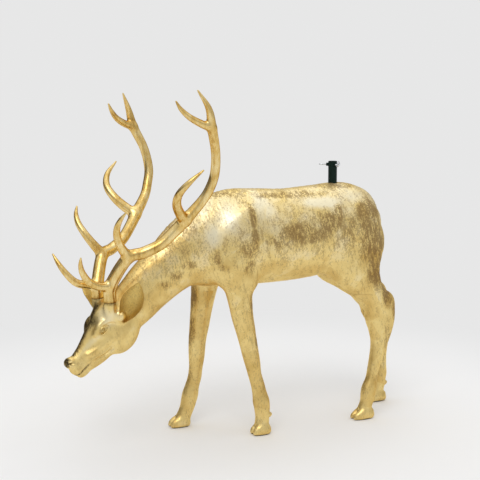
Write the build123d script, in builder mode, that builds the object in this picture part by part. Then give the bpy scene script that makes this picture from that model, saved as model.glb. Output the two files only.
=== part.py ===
"""Life-size gilded grazing reindeer with a steel socket on its back that holds a tree pole.

Units are millimetres. z = 0 is the floor, the figure looks towards -X and its left side is at -Y.
The castings are hollow resin shells around a welded steel frame. The antlers plug in on steel pegs,
and three eye screws with nylon tips clamp the pole.
"""

import os
from math import cos, radians, sin

from build123d import *

# ---------------------------------------------------------------- driving dimensions
LEFT, RIGHT = -1, 1

WALL = 5.0  # thickness of the cast shells

SEAM_X = 20.0  # joint between the front and rear body castings
FRONT_LEG_JOINT_Z = 600.0
HIND_LEG_JOINT_Z = 560.0
HOOF_SOLID_Z = 75.0  # the legs are solid below this height

# Trunk: (x, height of the centre, half height, half width) of each upright section.
TRUNK = (
    (-215, 800, 108, 70),
    (-170, 812, 160, 104),
    (-100, 822, 189, 128),
    (0, 827, 198, 140),
    (100, 824, 198, 148),
    (200, 822, 195, 150),
    (300, 830, 195, 148),
    (400, 842, 195, 144),
    (500, 847, 187, 140),
    (580, 845, 160, 128),
    (640, 842, 118, 98),
    (672, 838, 66, 56),
    (684, 836, 14, 12),
)

# Legs: (height, half length, half width) of each level section, then the x of its centre for each leg.
FRONT_LEG = (
    (3, 45, 40),
    (40, 40, 38),
    (75, 35, 33),
    (140, 37, 31),
    (210, 33, 28),
    (285, 32, 28),
    (350, 37, 31),
    (420, 43, 34),
    (490, 45, 37),
    (560, 54, 42),
    (620, 66, 47),
    (700, 78, 48),
    (760, 70, 42),
)
LEFT_FRONT_X = (29, 35, 42, 40, 26, 7, -7, -22, -39, -55, -65, -72, -72)
RIGHT_FRONT_X = (-245, -225, -200, -187, -170, -160, -155, -148, -138, -130, -122, -105, -95)
FRONT_FOOT_Y, FRONT_TOP_Y = 120.0, 82.0

HIND_LEG = (
    (3, 56, 40),
    (35, 48, 38),
    (75, 35, 32),
    (105, 33, 30),
    (178, 31, 27),
    (248, 33, 28),
    (318, 43, 31),
    (390, 62, 35),
    (462, 78, 42),
    (540, 95, 52),
    (620, 132, 62),
    (700, 148, 64),
    (780, 120, 46),
)
LEFT_HIND_X = (535, 544, 561, 570, 585, 601, 620, 622, 610, 568, 508, 500, 510)
RIGHT_HIND_X = (727, 737, 751, 757, 761, 760, 752, 735, 700, 630, 545, 515, 510)
HIND_FOOT_Y, HIND_TOP_Y = 107.0, 78.0

FOOT_PAD_THICKNESS = 3.0
FOOT_PAD_MARGIN = 8.0  # how far a pad stays inside the outline of its hoof

# Neck and head stand in a frame turned about an upright axis at the root of the neck.
NECK_PIVOT_X = -150.0
HEAD_YAW = 10.0  # degrees, towards the left side

# Neck and head: (u, z, downward slope of the axis, half height, half width); u runs backwards.
NECK = (
    (20, 815, 10, 170, 112),
    (-75, 795, 28, 150, 104),
    (-180, 735, 38, 129, 86),
    (-275, 668, 43, 122, 74),
    (-352, 592, 45, 108, 68),
    (-402, 548, 44, 100, 66),
)
NECK_BASE_JOINT = (-160, 752, 36)
NECK_HEAD_JOINT = (-352, 592, 45)
HEAD = (
    (-372, 565, 44, 96, 62),
    (-405, 545, 43, 110, 72),
    (-458, 500, 42, 103, 77),
    (-510, 463, 42, 88, 62),
    (-563, 420, 42, 68, 44),
    (-605, 388, 42, 52, 37),
    (-636, 372, 42, 40, 33),
    (-655, 366, 42, 22, 20),
)

# Antlers: a beam and four tines, each a run of (u, v, z, radius); v is the distance from the midplane.
ANTLER_SEAT = (-487, 52, 628)
BEAM = (
    (-487, 51, 604, 27),
    (-487, 52, 628, 27),
    (-490, 54, 690, 22),
    (-438, 118, 792, 22),
    (-345, 162, 862, 20),
    (-249, 215, 940, 21),
    (-172, 244, 1030, 19),
    (-136, 252, 1120, 19),
    (-142, 262, 1215, 18),
    (-178, 284, 1308, 17),
    (-206, 292, 1375, 12),
    (-232, 288, 1437, 4),
)
TINES = (
    ((-492, 56, 690, 15), (-556, 70, 700, 16), (-612, 92, 745, 12), (-645, 120, 817, 4)),
    ((-440, 116, 790, 15), (-482, 138, 840, 15), (-509, 155, 908, 12), (-496, 196, 988, 4)),
    ((-252, 213, 938, 16), (-308, 246, 985, 16), (-326, 280, 1050, 13), (-244, 338, 1148, 4)),
    ((-180, 283, 1305, 14), (-236, 278, 1325, 13), (-282, 272, 1350, 10), (-312, 270, 1400, 4)),
)
LEFT_EAR = (
    (-452, 78, 566, 18, 8),
    (-440, 105, 606, 36, 10),
    (-428, 130, 646, 44, 10),
    (-421, 149, 688, 29, 7),
    (-420, 160, 718, 5, 3),
)  # (u, v, z, half width, half thickness), from the root to the tip
RIGHT_EAR = (
    (-462, 78, 562, 18, 8),
    (-468, 110, 590, 36, 10),
    (-474, 142, 622, 44, 10),
    (-480, 170, 655, 29, 7),
    (-486, 188, 680, 5, 3),
)
EAR_FACING = 40.0  # degrees that the flat of an ear is turned outwards from straight ahead

TAIL = ((640, 935, 16, 9), (662, 900, 30, 14), (680, 855, 34, 15), (688, 810, 24, 11), (688, 785, 8, 5))

# Steel parts
POLE_X = 439.0
SLEEVE_RADIUS = 19.0
SLEEVE_BORE = 16.0
SLEEVE_TOP = 1131.0
SLEEVE_HOLE_GAP = 0.6

SCREW_DROP = 14.0  # below the mouth of the sleeve
SCREW_ANGLES = (150.0, 30.0, -90.0)
EYE_TURNS = (0.0, 75.0, 40.0)  # how far each eye stands turned from upright
SCREW_RADIUS = 3.0
SCREW_CLEARANCE = 0.08
NUT_RADIUS = 7.0
NUT_END = 28.0  # from the axis of the sleeve
TIP_RADIUS = 2.4
TIP_START = 16.2  # from the axis of the sleeve, with the screws backed off
TIP_LENGTH = 2.6
SPIGOT_RADIUS = 1.2
SPIGOT_LENGTH = 1.6
SPIGOT_CLEARANCE = 0.05
EYE_CENTRE = 49.0  # from the axis of the sleeve
EYE_RADIUS = 8.0  # to the middle of the wire
EYE_WIRE_RADIUS = 2.2

SPINE_TOP = 840.0
SPINE_WIDTH, SPINE_HEIGHT, SPINE_WALL = 30.0, 24.0, 3.0
SPINE_FRONT_X, SPINE_REAR_X = -110.0, 560.0
SADDLE_SIZE, SADDLE_THICKNESS = 80.0, 6.0
SADDLE_BOLT_PITCH = 60.0
BOLT_RADIUS = 4.0
BOLT_HOLE_GAP = 0.4
HEX_RADIUS, HEX_HEIGHT = 7.5, 5.5
GUSSET_REACH, GUSSET_HEIGHT, GUSSET_THICKNESS = 16.0, 40.0, 5.0
FRONT_PLATE_X, REAR_PLATE_X = -84.0, 508.0
CROSS_PLATE = (56.0, 190.0, 8.0)
ROD_RADIUS = 6.0
ROD_BEND_RADIUS = 40.0
ROD_OVERRUN = 20.0
NECK_ROD_RADIUS = 8.0
BULKHEAD_THICKNESS = 8.0
BULKHEAD_GAP = 3.0

PEG_RADIUS = 6.0
PEG_LENGTH = 96.0
PEG_IN_SOCKET = 50.0
SOCKET_GAP = 0.1
SOCKET_RADIUS = 10.0
SOCKET_FLOOR = 4.0
PEDICLE_TOP_RADIUS, PEDICLE_FOOT_RADIUS, PEDICLE_DEPTH = 26.0, 14.0, 62.0

SADDLE_TOP = SPINE_TOP + SADDLE_THICKNESS
SPINE_BOTTOM = SPINE_TOP - SPINE_HEIGHT
PLATE_BOTTOM = SPINE_BOTTOM - CROSS_PLATE[2]
SCREW_Z = SLEEVE_TOP - SCREW_DROP
SEAT_Z = ANTLER_SEAT[2]


# ---------------------------------------------------------------- frames and sections
FORWARD = Vector(-cos(radians(HEAD_YAW)), -sin(radians(HEAD_YAW)), 0)
HEAD_FRAME = Plane(origin=(NECK_PIVOT_X, 0, 0), x_dir=-FORWARD, z_dir=(0, 0, 1))


def head_point(u, v, z):
    """World position of a point of the turned head frame."""
    return HEAD_FRAME.from_local_coords(Vector(u, v, z))


def across(u, z, slope):
    """Plane across the neck or head; its normal points to the nose and its x to the crest."""
    tilt = radians(slope)
    normal = FORWARD * cos(tilt) - Vector(0, 0, sin(tilt))
    crest = FORWARD * sin(tilt) + Vector(0, 0, cos(tilt))
    return Plane(origin=head_point(u, 0, z), x_dir=crest, z_dir=normal)


def ellipse_on(plane, half_x, half_y):
    """One elliptical section on a plane."""
    with BuildSketch(plane) as section:
        Ellipse(half_x, half_y)
    return section.sketch


def trunk_sections(inset=0.0):
    """Upright sections of the trunk, with the tall axis of each ellipse upright."""
    return [
        ellipse_on(Plane(origin=(x, 0, z), x_dir=(0, 0, 1), z_dir=(1, 0, 0)), tall - inset, wide - inset)
        for x, z, tall, wide in TRUNK
        if wide > 3 * inset
    ]


def neck_sections(stations, inset=0.0):
    """Sections across the neck or the head."""
    return [
        ellipse_on(across(u, z, slope), tall - inset, wide - inset)
        for u, z, slope, tall, wide in stations
    ]


def leg_sections(profile, line, side, foot_y, top_y, inset=0.0, lowest=0.0):
    """Level sections of one leg, which leans inwards from its foot to its top."""
    top = profile[-1][0]
    sections = []
    for (z, long, wide), x in zip(profile, line):
        if z >= lowest:
            y = side * (foot_y + (top_y - foot_y) * z / top)
            sections.append(ellipse_on(Plane((x, y, z)), long - inset, wide - inset))
    return sections


def front_leg(side, inset=0.0, lowest=0.0):
    line = LEFT_FRONT_X if side == LEFT else RIGHT_FRONT_X
    return leg_sections(FRONT_LEG, line, side, FRONT_FOOT_Y, FRONT_TOP_Y, inset, lowest)


def hind_leg(side, inset=0.0, lowest=0.0):
    line = LEFT_HIND_X if side == LEFT else RIGHT_HIND_X
    return leg_sections(HIND_LEG, line, side, HIND_FOOT_Y, HIND_TOP_Y, inset, lowest)


def horn_sections(run, side):
    """Round sections square to a smooth curve through the run's points."""
    points = [head_point(u, side * v, z) for u, v, z, _ in run]
    with BuildLine() as curve:
        Spline(*points)
    line = curve.edges()[0]
    sections = []
    for point, (_, _, _, radius) in zip(points, run):
        tangent = line.tangent_at(line.param_at_point(point))
        sideways = HEAD_FRAME.y_dir.cross(tangent)
        with BuildSketch(Plane(origin=point, x_dir=sideways, z_dir=tangent)) as ring:
            Circle(radius)
        sections.append(ring.sketch)
    return sections


def ear_sections(run, side):
    """Flat sections square to the line from the root of an ear to its tip."""
    points = [head_point(u, side * v, z) for u, v, z, _, _ in run]
    axis = (points[-1] - points[0]).normalized()
    turn = radians(EAR_FACING)
    edge = HEAD_FRAME.x_dir * cos(turn) + HEAD_FRAME.y_dir * side * sin(turn)
    edge = (edge - axis * edge.dot(axis)).normalized()
    return [
        ellipse_on(Plane(origin=point, x_dir=edge, z_dir=axis), wide, thick)
        for point, (_, _, _, wide, thick) in zip(points, run)
    ]


def leg_rod(profile, line, side, foot_y, top_y):
    """Steel rod up the middle of a leg, bent to follow it, from the solid hoof to the cross plate."""
    top = profile[-1][0]
    points = []
    for (z, _, _), x in list(zip(profile, line))[2:-2:2]:
        points.append((x, side * (foot_y + (top_y - foot_y) * z / top), z))
    below = HOOF_SOLID_Z - ROD_OVERRUN
    above = PLATE_BOTTOM + ROD_OVERRUN
    foot = (points[0][0], side * (foot_y + (top_y - foot_y) * below / top), below)
    head = (line[-1], side * (foot_y + (top_y - foot_y) * above / top), above)
    with BuildPart() as rod:
        with BuildLine() as path:
            FilletPolyline(foot, *points[1:], head, radius=ROD_BEND_RADIUS)
        with BuildSketch(Plane(origin=path.line @ 0, z_dir=path.line % 0)):
            Circle(ROD_RADIUS)
        sweep(path=path.line)
        split(bisect_by=Plane.XY.offset(HOOF_SOLID_Z), keep=Keep.TOP)
        split(bisect_by=Plane.XY.offset(PLATE_BOTTOM), keep=Keep.BOTTOM)
    return rod.part


def radial_plane(angle, distance):
    """Plane square to a clamping screw, facing away from the sleeve."""
    outwards = Vector(cos(radians(angle)), sin(radians(angle)), 0)
    centre = Vector(POLE_X, 0, SCREW_Z) + outwards * distance
    return Plane(origin=centre, x_dir=(0, 0, 1), z_dir=outwards)


# ---------------------------------------------------------------- full solids the castings are cut from
NECK_BASE = across(*NECK_BASE_JOINT)
NECK_END = across(*NECK_HEAD_JOINT)
with BuildPart() as trunk_skin:
    loft(trunk_sections())

with BuildPart() as trunk_core:
    loft(trunk_sections(WALL))

with BuildPart() as neck_skin:
    loft(neck_sections(NECK))

with BuildPart() as neck_core:
    loft(neck_sections(NECK, WALL))

with BuildPart() as head_skin:
    loft(neck_sections(HEAD))

with BuildPart() as head_core:
    loft(neck_sections(HEAD[:-1], WALL))

# ---------------------------------------------------------------- body castings
with BuildPart() as front_body_shell:
    add(neck_skin.part)
    split(bisect_by=NECK_BASE, keep=Keep.BOTTOM)
    add(trunk_skin.part)
    loft(front_leg(LEFT, lowest=490))
    loft(front_leg(RIGHT, lowest=490))
    split(bisect_by=Plane.YZ.offset(SEAM_X), keep=Keep.BOTTOM)
    split(bisect_by=Plane.XY.offset(FRONT_LEG_JOINT_Z), keep=Keep.TOP)
    add(trunk_core.part, mode=Mode.SUBTRACT)
    add(neck_core.part, mode=Mode.SUBTRACT)
    loft(front_leg(LEFT, WALL, lowest=490), mode=Mode.SUBTRACT)
    loft(front_leg(RIGHT, WALL, lowest=490), mode=Mode.SUBTRACT)

with BuildPart() as rear_body_shell:
    add(trunk_skin.part)
    loft(hind_leg(LEFT, lowest=462))
    loft(hind_leg(RIGHT, lowest=462))
    split(bisect_by=Plane.YZ.offset(SEAM_X), keep=Keep.TOP)
    split(bisect_by=Plane.XY.offset(HIND_LEG_JOINT_Z), keep=Keep.TOP)
    add(trunk_core.part, mode=Mode.SUBTRACT)
    loft(hind_leg(LEFT, WALL, lowest=462), mode=Mode.SUBTRACT)
    loft(hind_leg(RIGHT, WALL, lowest=462), mode=Mode.SUBTRACT)
    with BuildSketch(Plane((POLE_X, 0, SPINE_TOP))) as pole_hole:
        Circle(SLEEVE_RADIUS + SLEEVE_HOLE_GAP)
    extrude(pole_hole.sketch, amount=SLEEVE_TOP - SPINE_TOP, mode=Mode.SUBTRACT)

# ---------------------------------------------------------------- neck and head castings
with BuildPart() as neck_shell:
    add(neck_skin.part)
    split(bisect_by=NECK_BASE, keep=Keep.TOP)
    split(bisect_by=NECK_END, keep=Keep.BOTTOM)
    add(neck_core.part, mode=Mode.SUBTRACT)

with BuildPart() as head_shell:
    add(neck_skin.part)
    split(bisect_by=NECK_END, keep=Keep.TOP)
    add(head_skin.part)
    split(bisect_by=NECK_END, keep=Keep.TOP)
    add(head_core.part, mode=Mode.SUBTRACT)
    add(neck_core.part, mode=Mode.SUBTRACT)
    for side in (LEFT, RIGHT):  # solid pedicles that carry the antlers
        seat = head_point(ANTLER_SEAT[0], side * ANTLER_SEAT[1], SEAT_Z)
        with Locations(seat):
            Cone(
                PEDICLE_FOOT_RADIUS,
                PEDICLE_TOP_RADIUS,
                PEDICLE_DEPTH,
                align=(Align.CENTER, Align.CENTER, Align.MAX),
            )
            Cylinder(
                SOCKET_RADIUS,
                PEG_IN_SOCKET + SOCKET_FLOOR,
                align=(Align.CENTER, Align.CENTER, Align.MAX),
                mode=Mode.SUBTRACT,
            )

with BuildPart() as left_ear:
    loft(ear_sections(LEFT_EAR, LEFT))
    add(head_skin.part, mode=Mode.SUBTRACT)

with BuildPart() as right_ear:
    loft(ear_sections(RIGHT_EAR, RIGHT))
    add(head_skin.part, mode=Mode.SUBTRACT)

with BuildPart() as tail:
    loft([ellipse_on(Plane((x, 0, z)), thick, wide) for x, z, wide, thick in TAIL])
    add(trunk_skin.part, mode=Mode.SUBTRACT)

# ---------------------------------------------------------------- legs
with BuildPart() as left_front_rod:
    add(leg_rod(FRONT_LEG, LEFT_FRONT_X, LEFT, FRONT_FOOT_Y, FRONT_TOP_Y))

with BuildPart() as right_front_rod:
    add(leg_rod(FRONT_LEG, RIGHT_FRONT_X, RIGHT, FRONT_FOOT_Y, FRONT_TOP_Y))

with BuildPart() as left_hind_rod:
    add(leg_rod(HIND_LEG, LEFT_HIND_X, LEFT, HIND_FOOT_Y, HIND_TOP_Y))

with BuildPart() as right_hind_rod:
    add(leg_rod(HIND_LEG, RIGHT_HIND_X, RIGHT, HIND_FOOT_Y, HIND_TOP_Y))


def hollow_leg(skin, core, joint_z):
    """Leg casting: hollow above the hoof and cut off at its joint with the body."""
    with BuildPart() as casting:
        loft(skin)
        split(bisect_by=Plane.XY.offset(joint_z), keep=Keep.BOTTOM)
        loft(core, mode=Mode.SUBTRACT)
    return casting.part


with BuildPart() as left_front_leg:
    add(hollow_leg(front_leg(LEFT), front_leg(LEFT, WALL, HOOF_SOLID_Z), FRONT_LEG_JOINT_Z))

with BuildPart() as right_front_leg:
    add(hollow_leg(front_leg(RIGHT), front_leg(RIGHT, WALL, HOOF_SOLID_Z), FRONT_LEG_JOINT_Z))

with BuildPart() as left_hind_leg:
    add(hollow_leg(hind_leg(LEFT), hind_leg(LEFT, WALL, HOOF_SOLID_Z), HIND_LEG_JOINT_Z))

with BuildPart() as right_hind_leg:
    add(hollow_leg(hind_leg(RIGHT), hind_leg(RIGHT, WALL, HOOF_SOLID_Z), HIND_LEG_JOINT_Z))

with BuildPart() as foot_pads:
    for line, side in ((LEFT_FRONT_X, LEFT), (RIGHT_FRONT_X, RIGHT)):
        with BuildSketch(Plane.XY) as pad:
            with Locations((line[0], side * FRONT_FOOT_Y)):
                Ellipse(FRONT_LEG[0][1] - FOOT_PAD_MARGIN, FRONT_LEG[0][2] - FOOT_PAD_MARGIN)
        extrude(pad.sketch, amount=FOOT_PAD_THICKNESS)
    for line, side in ((LEFT_HIND_X, LEFT), (RIGHT_HIND_X, RIGHT)):
        with BuildSketch(Plane.XY) as pad:
            with Locations((line[0], side * HIND_FOOT_Y)):
                Ellipse(HIND_LEG[0][1] - FOOT_PAD_MARGIN, HIND_LEG[0][2] - FOOT_PAD_MARGIN)
        extrude(pad.sketch, amount=FOOT_PAD_THICKNESS)


# ---------------------------------------------------------------- antlers
def antler_body(side):
    """One antler: a lofted beam and four tines, cut flat where it sits on its pedicle."""
    with BuildPart() as antler:
        loft(horn_sections(BEAM, side))
        for tine in TINES:
            loft(horn_sections(tine, side))
        split(bisect_by=Plane.XY.offset(SEAT_Z), keep=Keep.TOP)
        with Locations(head_point(ANTLER_SEAT[0], side * ANTLER_SEAT[1], SEAT_Z)):
            Cylinder(
                PEG_RADIUS,
                PEG_LENGTH - PEG_IN_SOCKET,
                align=(Align.CENTER, Align.CENTER, Align.MIN),
                mode=Mode.SUBTRACT,
            )
    return antler.part


with BuildPart() as left_antler:
    add(antler_body(LEFT))

with BuildPart() as right_antler:
    add(antler_body(RIGHT))

LEFT_SEAT = head_point(ANTLER_SEAT[0], LEFT * ANTLER_SEAT[1], SEAT_Z)
RIGHT_SEAT = head_point(ANTLER_SEAT[0], RIGHT * ANTLER_SEAT[1], SEAT_Z)

with BuildPart() as left_antler_peg:
    with BuildSketch(Plane(LEFT_SEAT).offset(-PEG_IN_SOCKET)) as peg_end:
        Circle(PEG_RADIUS)
    extrude(peg_end.sketch, amount=PEG_LENGTH)

with BuildPart() as right_antler_peg:
    with BuildSketch(Plane(RIGHT_SEAT).offset(-PEG_IN_SOCKET)) as peg_end:
        Circle(PEG_RADIUS)
    extrude(peg_end.sketch, amount=PEG_LENGTH)

with BuildPart() as left_antler_socket:
    with Locations(LEFT_SEAT):
        Cylinder(SOCKET_RADIUS, PEG_IN_SOCKET + SOCKET_FLOOR, align=(Align.CENTER, Align.CENTER, Align.MAX))
        Hole(PEG_RADIUS + SOCKET_GAP, PEG_IN_SOCKET)

with BuildPart() as right_antler_socket:
    with Locations(RIGHT_SEAT):
        Cylinder(SOCKET_RADIUS, PEG_IN_SOCKET + SOCKET_FLOOR, align=(Align.CENTER, Align.CENTER, Align.MAX))
        Hole(PEG_RADIUS + SOCKET_GAP, PEG_IN_SOCKET)

# ---------------------------------------------------------------- socket for the tree pole
with BuildPart() as pole_sleeve:
    with BuildSketch(Plane((POLE_X, 0, SADDLE_TOP))) as tube:
        Circle(SLEEVE_RADIUS)
        Circle(SLEEVE_BORE, mode=Mode.SUBTRACT)
    extrude(tube.sketch, amount=SLEEVE_TOP - SADDLE_TOP)
    for angle in SCREW_ANGLES:
        with BuildSketch(radial_plane(angle, 0)) as screw_hole:
            Circle(SCREW_RADIUS + SCREW_CLEARANCE)
        extrude(screw_hole.sketch, amount=SLEEVE_RADIUS + 1, mode=Mode.SUBTRACT)

with BuildPart() as sleeve_nuts:
    for angle in SCREW_ANGLES:
        with BuildSketch(radial_plane(angle, SLEEVE_BORE)) as nut:
            RegularPolygon(NUT_RADIUS, 6)
            Circle(SCREW_RADIUS + SCREW_CLEARANCE, mode=Mode.SUBTRACT)
        extrude(nut.sketch, amount=NUT_END - SLEEVE_BORE)
    with Locations((POLE_X, 0, SCREW_Z)):
        Cylinder(SLEEVE_RADIUS, 4 * NUT_RADIUS, mode=Mode.SUBTRACT)


def eye_screw(angle, turn):
    """Clamping screw: spigot, shank and an eye of bent wire, turned about its own length."""
    shank_start = TIP_START + TIP_LENGTH
    with BuildPart() as screw:
        with BuildSketch(radial_plane(angle, shank_start)) as shank:
            Circle(SCREW_RADIUS)
        extrude(shank.sketch, amount=EYE_CENTRE - EYE_RADIUS - shank_start)
        with BuildSketch(radial_plane(angle, shank_start - SPIGOT_LENGTH)) as spigot:
            Circle(SPIGOT_RADIUS)
        extrude(spigot.sketch, amount=SPIGOT_LENGTH)
        middle = radial_plane(angle, EYE_CENTRE)
        flat = middle.x_dir.rotate(Axis(middle.origin, middle.z_dir), turn)
        with Locations(Plane(origin=middle.origin, x_dir=middle.z_dir, z_dir=flat)):
            Torus(EYE_RADIUS, EYE_WIRE_RADIUS)
    return screw.part


def screw_tip(angle):
    """Nylon tip that turns freely on the spigot of its screw."""
    with BuildPart() as tip:
        with BuildSketch(radial_plane(angle, TIP_START)) as face:
            Circle(TIP_RADIUS)
        extrude(face.sketch, amount=TIP_LENGTH)
        with BuildSketch(radial_plane(angle, TIP_START + TIP_LENGTH - SPIGOT_LENGTH)) as pocket:
            Circle(SPIGOT_RADIUS + SPIGOT_CLEARANCE)
        extrude(pocket.sketch, amount=SPIGOT_LENGTH, mode=Mode.SUBTRACT)
    return tip.part


with BuildPart() as eye_screw_1:
    add(eye_screw(SCREW_ANGLES[0], EYE_TURNS[0]))

with BuildPart() as eye_screw_2:
    add(eye_screw(SCREW_ANGLES[1], EYE_TURNS[1]))

with BuildPart() as eye_screw_3:
    add(eye_screw(SCREW_ANGLES[2], EYE_TURNS[2]))

with BuildPart() as screw_tip_1:
    add(screw_tip(SCREW_ANGLES[0]))

with BuildPart() as screw_tip_2:
    add(screw_tip(SCREW_ANGLES[1]))

with BuildPart() as screw_tip_3:
    add(screw_tip(SCREW_ANGLES[2]))

# ---------------------------------------------------------------- frame inside the body
SPINE_MIDDLE_X = (SPINE_FRONT_X + SPINE_REAR_X) / 2
BOLT_PLACES = GridLocations(SADDLE_BOLT_PITCH, SADDLE_BOLT_PITCH, 2, 2)

with BuildPart() as spine_beam:
    with BuildSketch(Plane.YZ.offset(SPINE_FRONT_X)) as box_section:
        with Locations((0, SPINE_TOP - SPINE_HEIGHT / 2)):
            Rectangle(SPINE_WIDTH, SPINE_HEIGHT)
            Rectangle(SPINE_WIDTH - 2 * SPINE_WALL, SPINE_HEIGHT - 2 * SPINE_WALL, mode=Mode.SUBTRACT)
    extrude(box_section.sketch, amount=SPINE_REAR_X - SPINE_FRONT_X)

with BuildPart() as saddle_plate:
    with BuildSketch(Plane((POLE_X, 0, SPINE_TOP))) as saddle:
        RectangleRounded(SADDLE_SIZE, SADDLE_SIZE, 6)
        with BOLT_PLACES:
            Circle(BOLT_RADIUS + BOLT_HOLE_GAP, mode=Mode.SUBTRACT)
    extrude(saddle.sketch, amount=SADDLE_THICKNESS)

with BuildPart() as saddle_clamp:
    with BuildSketch(Plane((POLE_X, 0, SPINE_BOTTOM))) as clamp:
        RectangleRounded(SADDLE_SIZE, SADDLE_SIZE, 6)
        with BOLT_PLACES:
            Circle(BOLT_RADIUS + BOLT_HOLE_GAP, mode=Mode.SUBTRACT)
    extrude(clamp.sketch, amount=-SADDLE_THICKNESS)

CLAMP_BOTTOM = SPINE_BOTTOM - SADDLE_THICKNESS

with BuildPart() as saddle_bolts:
    with BuildSketch(Plane((POLE_X, 0, SADDLE_TOP))) as heads:
        with BOLT_PLACES:
            RegularPolygon(HEX_RADIUS, 6)
    extrude(heads.sketch, amount=HEX_HEIGHT)
    with BuildSketch(Plane((POLE_X, 0, SADDLE_TOP))) as shanks:
        with BOLT_PLACES:
            Circle(BOLT_RADIUS)
    extrude(shanks.sketch, amount=CLAMP_BOTTOM - HEX_HEIGHT - 3 - SADDLE_TOP)

with BuildPart() as saddle_nuts:
    with BuildSketch(Plane((POLE_X, 0, CLAMP_BOTTOM))) as nuts:
        with BOLT_PLACES:
            RegularPolygon(HEX_RADIUS, 6)
            Circle(BOLT_RADIUS, mode=Mode.SUBTRACT)
    extrude(nuts.sketch, amount=-HEX_HEIGHT)

with BuildPart() as sleeve_gussets:
    for quarter in range(4):
        upright = Plane(origin=(POLE_X, 0, SADDLE_TOP), z_dir=(0, -1, 0), x_dir=(1, 0, 0))
        with BuildSketch(upright.rotated((0, 0, 90 * quarter))) as gusset:
            Polygon(
                (SLEEVE_RADIUS - 1, 0),
                (SLEEVE_RADIUS + GUSSET_REACH, 0),
                (SLEEVE_RADIUS - 1, GUSSET_HEIGHT),
                align=None,
            )
        extrude(gusset.sketch, amount=GUSSET_THICKNESS / 2, both=True)
    with Locations((POLE_X, 0, SADDLE_TOP)):
        Cylinder(SLEEVE_RADIUS, 4 * GUSSET_HEIGHT, mode=Mode.SUBTRACT)

with BuildPart() as front_cross_plate:
    with BuildSketch(Plane((FRONT_PLATE_X, 0, PLATE_BOTTOM))) as plate:
        RectangleRounded(CROSS_PLATE[0], CROSS_PLATE[1], 8)
    extrude(plate.sketch, amount=CROSS_PLATE[2])

with BuildPart() as rear_cross_plate:
    with BuildSketch(Plane((REAR_PLATE_X, 0, PLATE_BOTTOM))) as plate:
        RectangleRounded(CROSS_PLATE[0], CROSS_PLATE[1], 8)
    extrude(plate.sketch, amount=CROSS_PLATE[2])

BULKHEAD_AT = (HEAD[1][0], HEAD[1][1], HEAD[1][2])
with BuildPart() as head_bulkhead:
    with BuildSketch(across(*BULKHEAD_AT)) as bulkhead:
        Ellipse(HEAD[1][3] - WALL - BULKHEAD_GAP, HEAD[1][4] - WALL - BULKHEAD_GAP)
    extrude(bulkhead.sketch, amount=BULKHEAD_THICKNESS)

with BuildLine() as neck_rod_line:
    rod_start = Vector(SPINE_FRONT_X, 0, SPINE_TOP - SPINE_HEIGHT / 2)
    rod_finish = head_point(HEAD[1][0], 0, HEAD[1][1])
    Spline(rod_start, rod_finish, tangents=((-1, 0, 0), across(*BULKHEAD_AT).z_dir))

with BuildPart() as neck_rod:
    with BuildSketch(Plane(origin=rod_start, z_dir=(-1, 0, 0))) as rod_end:
        Circle(NECK_ROD_RADIUS)
    sweep(rod_end.sketch, path=neck_rod_line.edges()[0])

# ---------------------------------------------------------------- export, centred over the origin
PARTS = {
    "front_body_shell": front_body_shell,
    "rear_body_shell": rear_body_shell,
    "neck_shell": neck_shell,
    "head_shell": head_shell,
    "left_ear": left_ear,
    "right_ear": right_ear,
    "tail": tail,
    "left_front_leg": left_front_leg,
    "right_front_leg": right_front_leg,
    "left_hind_leg": left_hind_leg,
    "right_hind_leg": right_hind_leg,
    "foot_pads": foot_pads,
    "left_antler": left_antler,
    "right_antler": right_antler,
    "left_antler_peg": left_antler_peg,
    "right_antler_peg": right_antler_peg,
    "left_antler_socket": left_antler_socket,
    "right_antler_socket": right_antler_socket,
    "pole_sleeve": pole_sleeve,
    "sleeve_nuts": sleeve_nuts,
    "eye_screw_1": eye_screw_1,
    "eye_screw_2": eye_screw_2,
    "eye_screw_3": eye_screw_3,
    "screw_tip_1": screw_tip_1,
    "screw_tip_2": screw_tip_2,
    "screw_tip_3": screw_tip_3,
    "spine_beam": spine_beam,
    "saddle_plate": saddle_plate,
    "saddle_clamp": saddle_clamp,
    "saddle_bolts": saddle_bolts,
    "saddle_nuts": saddle_nuts,
    "sleeve_gussets": sleeve_gussets,
    "front_cross_plate": front_cross_plate,
    "rear_cross_plate": rear_cross_plate,
    "left_front_rod": left_front_rod,
    "right_front_rod": right_front_rod,
    "left_hind_rod": left_hind_rod,
    "right_hind_rod": right_hind_rod,
    "neck_rod": neck_rod,
    "head_bulkhead": head_bulkhead,
}

boxes = [piece.part.bounding_box() for piece in PARTS.values()]
centre_x = (min(box.min.X for box in boxes) + max(box.max.X for box in boxes)) / 2
centre_y = (min(box.min.Y for box in boxes) + max(box.max.Y for box in boxes)) / 2
print("figure centre", round(centre_x, 3), round(centre_y, 3))

os.makedirs("parts", exist_ok=True)
for name, piece in PARTS.items():
    centred = piece.part.moved(Location((-centre_x, -centre_y, 0)))
    centred.label = name
    export_step(centred, f"parts/{name}.step")
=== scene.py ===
"""Gilded grazing reindeer with a clamping socket for a tree pole: the looks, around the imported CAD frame.

Shapes are worked out in millimetres in the design frame of the CAD source, where x = 0 is near the middle of
the body and y = 0 is the midplane of the trunk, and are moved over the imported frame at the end.
The castings are one continuous solid field, meshed piece by piece and cut at the joints of the castings.
"""

from itertools import product

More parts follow.
